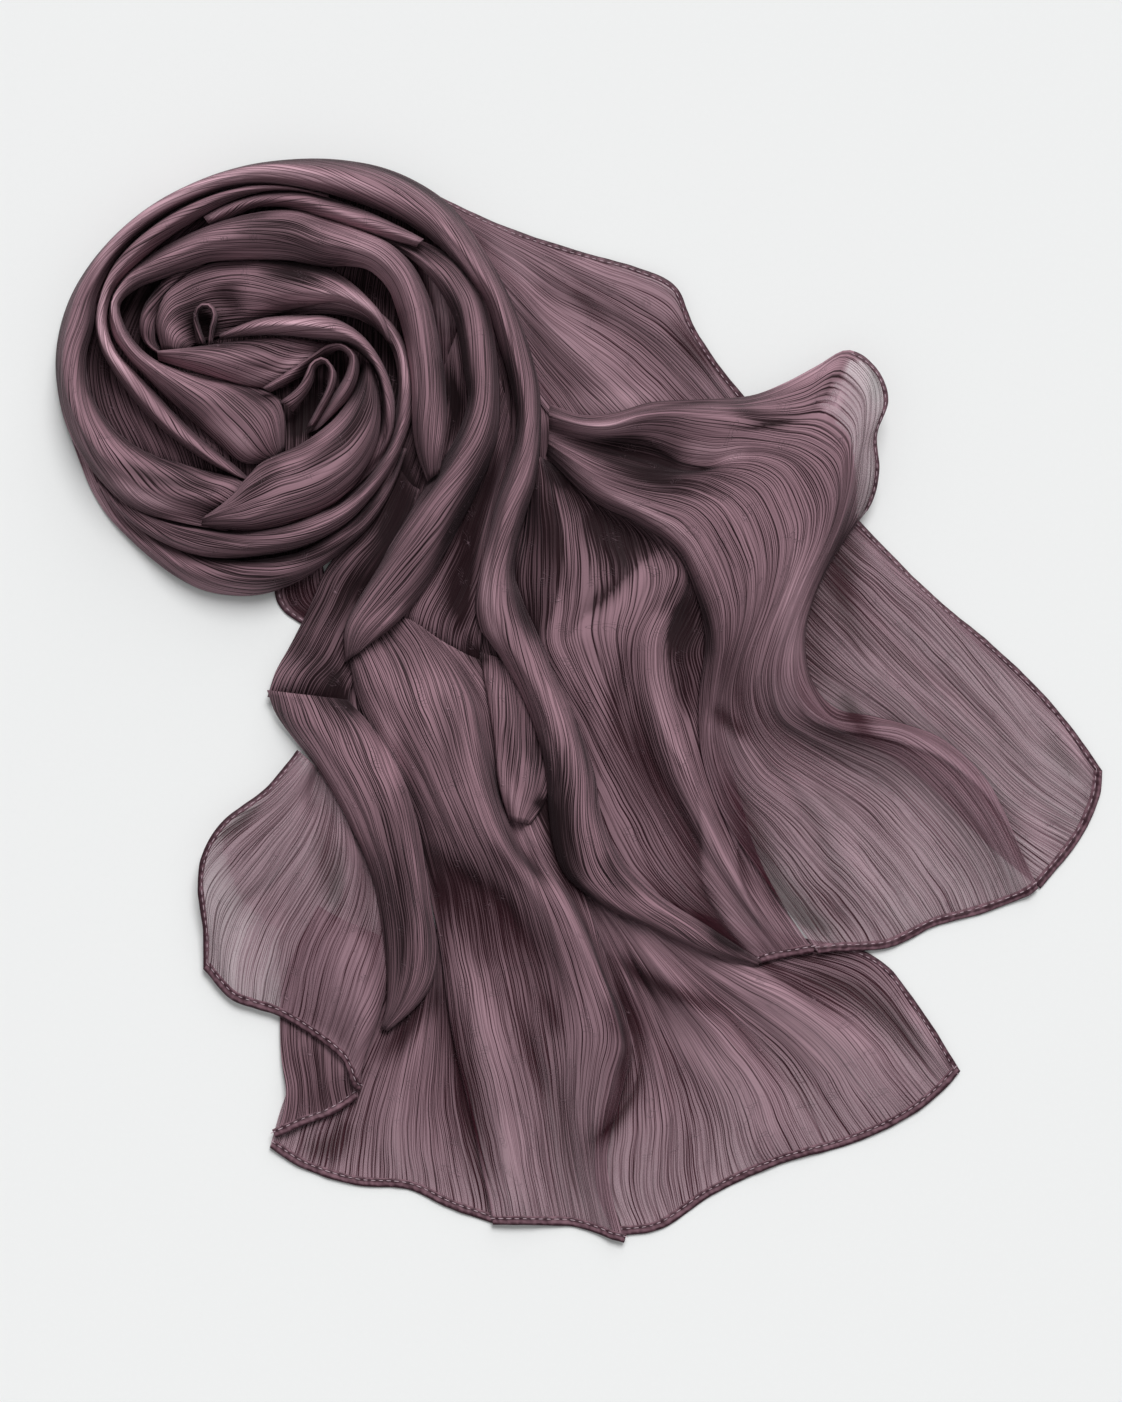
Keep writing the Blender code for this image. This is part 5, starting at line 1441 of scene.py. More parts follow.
class Shader:
    """Builds one material's nodes."""

    def __init__(self, name: str) -> None:
        """Start a material with an empty tree.

        Args:
            name: The material's name.
        """
        self.material = bpy.data.materials.new(name)
        self.material.use_nodes = True
        self.tree = self.material.node_tree
        self.tree.nodes.clear()

    def node(
        self, kind: str, settings: dict[str, Any], values: dict[Any, Any], out: int = 0
    ) -> Sock:
        """Add a node and return one of its outputs, as new_node does in a plain tree."""
        plain = {key: getattr(value, "socket", value) for key, value in values.items()}
        return Sock(self, new_node(self.tree, kind, settings, plain).outputs[out])

    def noise(self, x: Any, y: Any, detail: float = 0.0) -> Sock:
        """Read smooth noise at two coordinates.

        Args:
            x: First coordinate, in cells.
            y: Second coordinate, in cells.
            detail: How many finer layers are added.

        Returns:
            The noise, from 0 to 1.
        """
        place = self.node("ShaderNodeCombineXYZ", {}, {0: x, 1: y})
        values = {"Vector": place, "Scale": 1.0, "Detail": detail, "Roughness": 0.5}
        return self.node("ShaderNodeTexNoise", {"noise_dimensions": "2D"}, values)

    def mix(self, share: Any, low: Any, high: Any) -> Sock:
        """Mix two colours."""
        return self.node("ShaderNodeMix", {"data_type": "RGBA"}, {0: share, 6: low, 7: high}, 2)

    def bumped(self, height: Sock, strength: float, distance: float) -> Sock:
        """Return the normal of a surface that is bumped by a height."""
        values = {"Strength": strength, "Distance": distance, "Height": height}
        return self.node("ShaderNodeBump", {}, values)

    def grain(self, scale: float, detail: float) -> Sock:
        """Read smooth noise at the piece's own coordinates.

        Args:
            scale: How many cells lie in a metre.
            detail: How many finer layers are added.

        Returns:
            The noise, from 0 to 1.
        """
        place = self.node("ShaderNodeTexCoord", {}, {}, 3)
        values = {"Vector": place, "Scale": scale, "Detail": detail}
        return self.node("ShaderNodeTexNoise", {}, values)

    def attribute(self, name: str) -> Sock:
        """Read a value that the cloth's points carry."""
        return self.node("ShaderNodeAttribute", {"attribute_name": name}, {}, 2)

    def runs(self) -> tuple[Sock, Sock]:
        """Return the run across and along the cloth, in metres.

        Returns:
            The two runs.
        """
        place = self.node("ShaderNodeUVMap", {"uv_map": "run"}, {})
        parts = new_node(self.tree, "ShaderNodeSeparateXYZ", {}, {0: place.socket}).outputs
        return Sock(self, parts[0]), Sock(self, parts[1])

    def finish(self, values: dict[str, Any]) -> bpy.types.Material:
        """Close the tree with a Principled shader.

        Args:
            values: The shader's inputs.

        Returns:
            The finished material.
        """
        shader = self.node("ShaderNodeBsdfPrincipled", {}, values)
        new_node(self.tree, "ShaderNodeOutputMaterial", {}, {"Surface": shader.socket})
        return self.material


class FineLines(NamedTuple):
    """One sort of fine crinkle line.

    Attributes:
        each: How many lines lie in a metre.
        half: Half a line's width, in metres.
        seed: Sets these lines apart from others.
        dark: How much they darken the cloth, partly as denser cloth and partly as painted shade in
            their grooves.
        depth: How deep they lie.
    """

    each: float
    half: float
    seed: float
    dark: float
    depth: float

    def drawn(self, s: Shader, across: Sock, v: Sock) -> Sock:
        """Draw the lines along the cloth, each fading in and out by itself.

        Args:
            s: The shader.
            across: The run across the cloth.
            v: The run along the cloth.

        Returns:
            1 at a line's middle, 0 beside it.
        """
        place = across * self.each + self.seed
        number = place.math("FLOOR")
        drift = (s.noise(number * 7.31, v * 16.0 + self.seed) - 0.5) * 0.7
        far = abs(place.math("FRACT") - 0.5 - drift) / (self.each * self.half)
        strength = ((s.noise(number * 3.77 + 40.0, v * 13.0 + self.seed) - 0.32) * 3.4).clamped()
        return (1.0 - far).clamped() * strength


@dataclass(frozen=True)
class SheerChiffon:
    """Sheer crinkled chiffon, denser along its crinkles.

    The cloth's own attributes say how much it covers and carry its painted light and shade.
    """

    name: str = "sheer_chiffon"
    light: Colour = (0.320, 0.184, 0.221, 1.0)
    # Painted shade mixes towards dark, and towards deep where the cloth is sheer; pale is the
    # threads' colour and, where the cloth is thin, partly painted light of the floor seen through;
    # the colour after deep is what painted light mixes towards.
    dark: Colour = (0.012, 0.0045, 0.0062, 1.0)
    pale: Colour = (0.52, 0.335, 0.40, 1.0)
    deep: Colour = (0.062, 0.006, 0.017, 1.0)
    painted_light_colour: Colour = (0.78, 0.50, 0.58, 1.0)
    base_shade: float = 0.19
    opaque: bool = False
    roughness: float = 0.66
    sheen: float = 0.10
    warp: tuple[float, float, float] = (9.0, 7.0, 0.012)
    ripple: tuple[float, float, float] = (70.0, 26.0, 0.0022)
    alpha_range: tuple[float, float] = (0.05, 1.0)
    lines: tuple[FineLines, ...] = (
        FineLines(225.0, 0.00058, 3.7, 0.46, 0.55),
        FineLines(480.0, 0.00046, 11.3, 0.78, 0.35),
        FineLines(900.0, 0.00036, 23.9, 0.84, 0.18),
    )

    @staticmethod
    def stray_threads(s: Shader, u: Sock, v: Sock) -> Sock:
        """Draw the few pale threads that cross the crinkles.

        Args:
            s: The shader.
            u: The run across the cloth.
            v: The run along the cloth.

        Returns:
            1 on a thread, 0 beside it.
        """
        cross = s.noise(u * 150.0 + v * 95.0, v * 420.0 - u * 160.0).line(0.035)
        rare = ((s.noise(u * 95.0 + 3.0, v * 80.0) - 0.68) * 14.0).clamped()
        return cross * rare

    def coloured(self, s: Shader, shade: Sock, cover: Sock | None) -> Sock:
        """Return the cloth's colour: darker in its crinkles and under painted shade, brighter under
        painted light, and paler where it is thin, partly as painted light of the floor seen
        through.

        Args:
            s: The shader.
            shade: How dark the cloth is with its crinkles and painted shading, below zero where it
                is painted bright.
            cover: How much the cloth covers, or None where it is opaque.

        Returns:
            The colour.
        """
        light: Colour | Sock = self.light
        dark: Colour | Sock = self.dark
        if cover is not None:
            # where the cloth is thin: paler, partly painted light of the floor seen through, and
            # its painted shade deeper in hue
            light = s.mix(((1.0 - cover) * 0.75).clamped(), self.light, self.pale)
            dark = s.mix(((1.0 - cover) * 1.3).clamped(), self.dark, self.deep)
        # painted light: the colour brightens beyond the cloth's own where the shade falls below
        # zero
        light = s.mix((shade * -0.9).clamped(), light, self.painted_light_colour)
        # painted shade: the colour darkens towards dark
        return s.mix(shade.clamped(), light, dark)

    def build(self) -> bpy.types.Material:
        """Make the material.

        Returns:
            The material.
        """
        s = Shader(self.name)
        u, v = s.runs()
        across = u
        for each_u, each_v, reach in (self.warp, self.ripple):
            across = across + (s.noise(u * each_u, v * each_v, 1.0) - 0.5) * reach
        streak = s.noise(across * 52.0 + 7.0, v * 3.6, 1.0)
        narrow = s.noise(across * 170.0 + 31.0, v * 7.5)
        threads = self.stray_threads(s, u, v)
        drawn = [(sort, sort.drawn(s, across, v)) for sort in self.lines]
        lines = reduce(operator.add, [line * sort.dark for sort, line in drawn])
        height = reduce(operator.sub, [line * sort.depth for sort, line in drawn], narrow * 0.9)
        streaks = (0.5 - streak) * 0.20 + (0.5 - narrow) * 0.17
        # the cloth's crinkles and streaks, with its painted light and shade from the point
        # attribute
        shade = lines + streaks + self.base_shade - s.attribute("tone") * 0.82
        cover = None if self.opaque else s.attribute("cover")
        colour = s.mix(threads * 0.25, self.coloured(s, shade, cover), self.pale)
        height = height + threads * 0.5 + s.noise(u * 1500.0, v * 1500.0, 1.0) * 0.05
        values: dict[str, Any] = {
            "Base Color": colour,
            "Roughness": self.roughness,
            "Specular IOR Level": 0.16,
            "Sheen Weight": self.sheen,
            "Sheen Roughness": 0.45,
            "Sheen Tint": (0.80, 0.58, 0.66, 1.0),
            "Normal": s.bumped(height, 0.9, 0.0013),
        }
        if cover is not None:
            room = (lines * 0.62 + streaks * 0.8 + threads * 0.3) * (1.0 - cover)
            values["Alpha"] = (cover + room).clamped(*self.alpha_range)
        return s.finish(values)


@dataclass(frozen=True)
class TurnedHem:
    """The same chiffon turned twice, nearly opaque, puckered by its stitches, with painted shade in
    its puckers' dips, in its stitch groove and at its rolled outer edge.
    """

    name: str = "turned_hem"
    light: Colour = (0.190, 0.098, 0.124, 1.0)
    dark: Colour = (0.032, 0.007, 0.014, 1.0)
    base_shade: float = 0.0
    groove_at: float = 0.0043
    groove_width: float = 0.0012
    edge_width: float = 0.0020

    def build(self) -> bpy.types.Material:
        """Make the material.

        Returns:
            The material.
        """
        s = Shader(self.name)
        u, v = s.runs()
        pucker = s.noise(u * 200.0 + v * 60.0, v * 230.0, 1.0)
        streak = s.noise(u * 900.0, v * 120.0, 1.0)
        groove = 1.0 - (abs(u - self.groove_at) / self.groove_width).clamped()
        edge = 1.0 - (u / self.edge_width).clamped()
        # painted shade: darker in the puckers' dips, in the stitch groove and at the rolled outer
        # edge
        shade = (pucker - 0.40) * 1.5 + streak * 0.45 + groove * 0.85 + edge * 1.1
        shade = (shade + self.base_shade).clamped()
        return s.finish(
            {
                "Base Color": s.mix(shade, self.light, self.dark),
                "Roughness": 0.60,
                "Specular IOR Level": 0.3,
                "Sheen Weight": 0.12,
                "Sheen Roughness": 0.4,
                "Sheen Tint": (0.80, 0.62, 0.70, 1.0),
                "Normal": s.bumped(streak * 0.4 - pucker * 0.8, 0.8, 0.0008),
            }
        )


@dataclass(frozen=True)
class SewingThread:
    """Matt sewing thread, paler than the hem."""

    name: str = "sewing_thread"
    colour: Colour = (0.56, 0.43, 0.48, 1.0)
    shaded: Colour = (0.34, 0.23, 0.27, 1.0)

    def build(self) -> bpy.types.Material:
        """Make the material.

        Returns:
            The material.
        """
        s = Shader(self.name)
        colour = s.mix(s.grain(2600.0, 1.0), self.colour, self.shaded)
        return s.finish({"Base Color": colour, "Roughness": 0.7, "Specular IOR Level": 0.25})


@dataclass(frozen=True)
class PaleFloor:
    """A plain pale matt surface."""

    name: str = "pale_floor"
    colour: Colour = (0.862, 0.869, 0.869, 1.0)

    def build(self) -> bpy.types.Material:
        """Make the material.

        Returns:
            The material.
        """
        s = Shader(self.name)
        dusky = tuple(0.985 * part for part in self.colour[:3]) + (1.0,)
        colour = s.mix(s.grain(300.0, 2.0), self.colour, dusky)
        return s.finish({"Base Color": colour, "Roughness": 0.9, "Specular IOR Level": 0.1})


# ---------------------------------------------------------------- hems and stitches


@dataclass
class Hem:
    """A turned hem along one side of a cloth."""

    cloth: Cloth
    side: Side
    width: float
    height: float = 0.0019
    span: tuple[float, float] = (0.0, 1.0)
    proud: float = 0.0003
    wobble: float = 0.00022
    pucker: float = 0.20
    lean: float = 0.30
    dent: float = 0.55
    dent_at: float = 0.72
    dent_width: float = 0.10
    stitched_at: float = 0.74
    stitch_rise: float = 0.42
    fine_pitch: float = 0.0042
    broad_pitch: float = 0.011
    wobble_pitch: float = 0.0075
    easing: int = 4
    step: float = 0.0012
    ring: int = 14

    def edge(self) -> tuple[np.ndarray, np.ndarray, np.ndarray]:
        """Return evenly spaced edge points, and the ways inwards and up there.

        Returns:
            The points, the ways inwards and the ways up.
        """
        grid, normals = self.cloth.grid, normals_of(self.cloth.grid)
        if self.side is Side.END:
            line, normal = grid[:, -1], normals[:, -1]
            inner = grid[:, -3]
        elif self.side is Side.FIRST:
            line, normal, inner = grid[0], normals[0], grid[3]
        else:
            line, normal, inner = grid[-1], normals[-1], grid[-4]
        steps = np.linalg.norm(np.diff(line, axis=0), axis=1)
        run = np.concatenate(([0.0], np.cumsum(steps)))
        start, stop = run[-1] * self.span[0], run[-1] * self.span[1]
        at = np.linspace(start, stop, max(8, round((stop - start) / self.step)))

        def read(values: np.ndarray) -> np.ndarray:
            """Read points or ways at even steps along the edge."""
            return np.column_stack([np.interp(at, run, values[:, k]) for k in range(3)])

        points = read(line)
        for _ in range(self.easing):
            points[1:-1] = points[1:-1] * 0.5 + (points[:-2] + points[2:]) * 0.25
        along = np.gradient(points, axis=0)
        along /= np.linalg.norm(along, axis=1, keepdims=True)
        up = read(normal)
        up -= along * (up * along).sum(axis=1, keepdims=True)
        up /= np.linalg.norm(up, axis=1, keepdims=True)
        inwards = np.cross(up, along)
        towards = read(inner) - points
        inwards *= np.sign((inwards * towards).sum(axis=1, keepdims=True))
        return points, inwards, up

    def build(self, name: str) -> bpy.types.Object:
        """Make the hem's closed tube.

        Args:
            name: The object's name.

        Returns:
            The hem's object.
        """
        points, inwards, up = self.edge()
        count = len(points)
        run = np.arange(count) * self.step
        seed = self.cloth.seed + 40
        flat = np.zeros(count)
        fine = value_noise(run / self.fine_pitch, flat, seed) * 0.6
        pucker = fine + value_noise(run / self.broad_pitch, flat + 3, seed)
        wobble = value_noise(run / self.wobble_pitch, flat + 5, seed)
        angle = np.linspace(0.0, 2 * math.pi, self.ring, endpoint=False)
        half = self.width / 2 + self.proud
        rings = []
        for k in range(count):
            sway = self.wobble * wobble[k] * np.cos(angle)
            span = self.width / 2 - half * np.cos(angle) + sway
            tall = self.height / 2 * (1.0 + self.pucker * pucker[k])
            off_dent = (span - self.dent_at * self.width) / (self.dent_width * self.width)
            dent = 1.0 - self.dent * np.exp(-(off_dent**2))
            rise = np.sin(angle) * tall * (1.0 + self.lean * np.cos(angle)) * dent
            rings.append(points[k] + span[:, None] * inwards[k] + rise[:, None] * up[k])
        tube = np.array(rings)
        tube[:, :, 2] = np.maximum(tube[:, :, 2], OFF_FLOOR)
        return closed_tube(name, tube, run, self.width)

    def stitch_path(self) -> np.ndarray:
        """Return the path of the stitches, on top of the hem near its inner edge.

        Returns:
            The path's points.
        """
        points, inwards, up = self.edge()
        inner = inwards * (self.width * self.stitched_at)
        return points + inner + up * (self.height * self.stitch_rise)


def closed_tube(name: str, rings: np.ndarray, run: np.ndarray, width: float) -> bpy.types.Object:
    """Make a closed tube through rings.

    Args:
        name: The object's name.
        rings: Rings of points, one after another.
        run: How far along the tube each ring lies.
        width: The tube's width, for its UV map.

    Returns:
        The tube's object.
    """
    count, ring = rings.shape[:2]
    centre = rings.mean(axis=1)
    along = centre[1] - centre[0]
    turn = np.cross(rings[0, 1] - centre[0], rings[0, 2] - centre[0])
    if float(turn @ along) > 0.0:
        rings = rings[:, ::-1]
    points = [tuple(p) for p in rings.reshape(-1, 3)]
    faces = []
    for start in range(0, (count - 1) * ring, ring):
        for j in range(ring):
            k = (j + 1) % ring
            faces.append((start + j, start + k, start + ring + k, start + ring + j))
    faces.append(tuple(range(ring))[::-1])
    faces.append(tuple((count - 1) * ring + j for j in range(ring)))
    mesh = bpy.data.meshes.new(name)
    mesh.from_pydata(points, [], faces)
    layer = mesh.uv_layers.new(name="run")
    for loop in mesh.loops:
        i, j = divmod(loop.vertex_index, ring)
        share = 0.5 - 0.5 * math.cos(2 * math.pi * j / ring)
        layer.data[loop.index].uv = (share * width, float(run[i]))
    mesh.update()
    mesh.shade_smooth()
    return in_scene(name, mesh)


@dataclass(frozen=True)
class StitchRow:
    """A row of short stitches set along a path by Geometry Nodes."""

    pitch: float = 0.0054
    length: float = 0.0036
    thick: float = 0.00062
    least: tuple[float, float, float] = (0.8, 0.8, 0.75)
    most: tuple[float, float, float] = (1.15, 1.15, 1.15)
    seed: int = 11

    def tree(self, material: bpy.types.Material) -> bpy.types.NodeTree:
        """Build the tree with its named inputs.

        Args:
            material: The thread's material.

        Returns:
            The tree.
        """
        tree = bpy.data.node_groups.new("stitch_row", "GeometryNodeTree")
        face = tree.interface
        face.new_socket("Path", in_out="INPUT", socket_type="NodeSocketGeometry")
        for label, value in (("Pitch", self.pitch), ("Length", self.length), ("Thick", self.thick)):
            socket = face.new_socket(label, in_out="INPUT", socket_type="NodeSocketFloat")
            socket.default_value = value
        seed = face.new_socket("Seed", in_out="INPUT", socket_type="NodeSocketInt")
        seed.default_value = self.seed
        face.new_socket("Stitches", in_out="OUTPUT", socket_type="NodeSocketGeometry")
        given = new_node(tree, "NodeGroupInput", {}, {}).outputs

        def add(kind: str, settings: dict[str, Any], values: dict[Any, Any]) -> Any:
            """Add a node and return its first output."""
            return new_node(tree, kind, settings, values).outputs[0]

        curve = add("GeometryNodeMeshToCurve", {}, {"Mesh": given["Path"]})
        spacing = {"Curve": curve, "Length": given["Pitch"]}
        spaced = add("GeometryNodeResampleCurve", {"mode": "LENGTH"}, spacing)
        dash = add("GeometryNodeMeshUVSphere", {}, {"Segments": 6, "Rings": 5, "Radius": 0.5})
        sides = {"X": given["Thick"], "Y": given["Thick"], "Z": given["Length"]}
        size = add("ShaderNodeCombineXYZ", {}, sides)
        limits = {"Min": self.least, "Max": self.most, "Seed": given["Seed"]}
        vary = add("FunctionNodeRandomValue", {"data_type": "FLOAT_VECTOR"}, limits)
        scale = add("ShaderNodeVectorMath", {"operation": "MULTIPLY"}, {0: size, 1: vary})
        tangent = add("GeometryNodeInputTangent", {}, {})
        turn = add("FunctionNodeAlignRotationToVector", {"axis": "Z"}, {"Vector": tangent})
        placing = {"Points": spaced, "Instance": dash, "Rotation": turn, "Scale": scale}
        placed = add("GeometryNodeInstanceOnPoints", {}, placing)
        real = add("GeometryNodeRealizeInstances", {}, {"Geometry": placed})
        coated = add("GeometryNodeSetMaterial", {}, {"Geometry": real, "Material": material})
        new_node(tree, "NodeGroupOutput", {}, {"Stitches": coated})
        return tree

    def build(
        self, name: str, paths: list[np.ndarray], material: bpy.types.Material
    ) -> bpy.types.Object:
        """Set stitches along paths and turn them into a plain mesh.

        Args:
            name: The object's name.
            paths: The paths' points.
            material: The thread's material.

        Returns:
            The stitches' object.
        """
        points: list[tuple[float, float, float]] = []
        edges: list[tuple[int, int]] = []
        for path in paths:
            start = len(points)
            points += [tuple(map(float, p)) for p in path]
            edges += [(start + k, start + k + 1) for k in range(len(path) - 1)]
        mesh = bpy.data.meshes.new(name + "_path")
        mesh.from_pydata(points, edges, [])
        guide = in_scene(name + "_path", mesh)
        tree = self.tree(material)
        rule = guide.modifiers.new("stitches", "NODES")
        rule.node_group = tree
        sizes = {"Pitch": self.pitch, "Length": self.length, "Thick": self.thick}
        values = {**sizes, "Seed": self.seed}
        for item in tree.interface.items_tree:
            if item.in_out == "INPUT" and item.name in values:
                rule[item.identifier] = values[item.name]
        graph = bpy.context.evaluated_depsgraph_get()
        made = bpy.data.meshes.new_from_object(guide.evaluated_get(graph))
        guide.modifiers.remove(rule)
        bpy.data.objects.remove(guide, do_unlink=True)
        made.name = name
        return in_scene(name, made)


# ---------------------------------------------------------------- the whole scarf


@dataclass
class Scarf:
    """The laid scarf: its stretches, hems and stitches."""

    stretches: list[Stretch]
    creases: list[Crease]
    strokes: list[Stroke]
    laps: list[Lap]
    veils: list[Veil]
    cloths: list[Cloth] = field(default_factory=list)
    stitch_paths: list[np.ndarray] = field(default_factory=list)
    first_seed: int = 100
    seed_step: int = 10
    end_hem_height: float = 0.0019
    side_hem_height: float = 0.0014
    least_flat: float = 0.01

    def settle(self) -> None:
        """Settle the stretches and make the fine cloth of each."""
        move = Settling().settle(self.stretches)
        for number, stretch in enumerate(self.stretches):
            cloth = Cloth(stretch, move, seed=self.first_seed + self.seed_step * number)
            cloth.add_pleats()
            cloth.add_creases(self.creases)
            cloth.add_strokes(self.strokes)
            cloth.add_laps(self.laps)
            cloth.add_crinkles()
            cloth.rest(self.cloths)
            cloth.set_cover(self.veils)
            self.cloths.append(cloth)
        self.shut_in()

    def shut_in(self) -> None:
        """Paint shade on each cloth where the others close it in."""
        points: list[Vector] = []
        faces: list[tuple[int, ...]] = []
        for cloth in self.cloths:
            coarse = cloth.grid[::2]
            start = len(points)
            points += [Vector(point) for point in coarse.reshape(-1, 3)]
            faces += [tuple(start + k for k in face) for face in faces_of(*coarse.shape[:2])]
        everything = BVHTree.FromPolygons(points, faces)
        for cloth in self.cloths:
            cloth.shut_in(everything)

    @staticmethod
    def dress_cloth(cloth: Cloth, finish: bpy.types.Material) -> bpy.types.Object:
        """Make a stretch's shell, which takes its solid's place.

        Args:
            cloth: The fine cloth.
            finish: Its material.

        Returns:
            The shell.
        """
        name = cloth.stretch.name
        shell = cloth.shell_mesh(f"{name}_cloth")
        shell.data.materials.append(finish)
        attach(shell, "root")
        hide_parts(name)
        LOG.info("%s: %d faces", name, len(shell.data.polygons))
        return shell

    def dress_hems(
        self, cloth: Cloth, end_finish: bpy.types.Material, side_finish: bpy.types.Material
    ) -> list[bpy.types.Object]:
        """Make a stretch's hems and keep the paths of their stitches.

        Args:
            cloth: The fine cloth.
            end_finish: The material of the hems on the short ends.
            side_finish: The material of the hems on the long sides.

        Returns:
            The hems.
        """
        stretch = cloth.stretch
        pieces = []
        for side in stretch.hems + stretch.part_hems:
            wide, tall, finish = stretch.edge_width, self.side_hem_height, side_finish
            if side is Side.END:
                wide, tall, finish = stretch.hem_width, self.end_hem_height, end_finish
            span = stretch.hem_span if side in stretch.part_hems else (0.0, 1.0)
            hem = Hem(cloth, side, wide, tall, span)
            piece = hem.build(f"{stretch.name}_hem_{side.value}")
            piece.data.materials.append(finish)
            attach(piece, "root")
            LOG.info("%s: %d faces", piece.name, len(piece.data.polygons))
            pieces.append(piece)
            self.stitch_paths.append(hem.stitch_path())
        return pieces

    def dress(self) -> None:
        """Make each piece, give it its finish and set it on its solid."""
        sheer = SheerChiffon().build()
        # The hidden layers under the coil are real cloth given a darker opaque finish: painted
        # shade that stands for the coil's dark crevices.
        layered_in_painted_shade = SheerChiffon(
            name="layered_chiffon_in_painted_shade", opaque=True, light=(0.20, 0.110, 0.135, 1.0), base_shade=0.55
        ).build()
        end_finish = TurnedHem().build()
        side_finish = TurnedHem(name="turned_side", base_shade=0.22).build()
        thread = SewingThread().build()
        for cloth in self.cloths:
            heap = cloth.stretch.lay is Lay.HEAP
            self.dress_cloth(cloth, layered_in_painted_shade if heap else sheer)
            self.dress_hems(cloth, end_finish, side_finish)
        stitches = StitchRow().build("hem_stitches", self.stitch_paths, thread)
        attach(stitches, "root")
        LOG.info("hem_stitches: %d faces", len(stitches.data.polygons))


@dataclass(frozen=True)
class Studio:
    """The plain floor, the soft lights and the camera straight above."""

    floor_half: float = 4.0
    backdrop: Colour = (0.99, 1.0, 1.0, 1.0)
    lens: float = 130.0
    sensor: float = 36.0
    sight: float = 50.0
    frame_height: float = 1402 * PLAN
    frame_x: float = 561.0
    frame_y: float = 701.0
    ambient: float = 0.33
    key: float = 2.47
    softness: float = 30.0
    key_from: tuple[float, float, float] = (0.16, 0.66, 0.76)
    low: float = 0.85
    low_softness: float = 40.0
    low_from: tuple[float, float, float] = (0.25, 0.90, 0.36)

    def build(self, move: np.ndarray) -> None:
        """Set up the studio.

        Args:
            move: The move that centred the scarf.
        """
        scene = bpy.context.scene
        mesh = bpy.data.meshes.new("floor")
        half = self.floor_half
        corners = [(-half, -half, 0.0), (half, -half, 0.0), (half, half, 0.0), (-half, half, 0.0)]
        mesh.from_pydata(corners, [], [(0, 1, 2, 3)])
        mesh.materials.append(PaleFloor().build())
        floor = in_scene("floor", mesh)
        world = bpy.data.worlds.new("studio")
        world.use_nodes = True
        background = world.node_tree.nodes["Background"].inputs
        background["Color"].default_value = self.backdrop
        background["Strength"].default_value = self.ambient
        scene.world = world
        for name, energy, softness, way in (
            ("key", self.key, self.softness, self.key_from),
            ("low", self.low, self.low_softness, self.low_from),
        ):
            lamp = bpy.data.lights.new(name, "SUN")
            lamp.energy = energy
            lamp.angle = math.radians(softness)
            light = in_scene(name, lamp)
            light.rotation_euler = Vector(way).to_track_quat("Z", "Y").to_euler()
        camera = bpy.data.cameras.new("camera")
        camera.lens = self.lens
        camera.clip_end = self.sight
        eye = in_scene("camera", camera)
        x = (self.frame_x - MID_X) * PLAN + move[0]
        y = (MID_Y - self.frame_y) * PLAN + move[1]
        eye.location = (x, y, self.frame_height * self.lens / self.sensor)
        scene.camera = eye
        scene.view_settings.view_transform = "Standard"


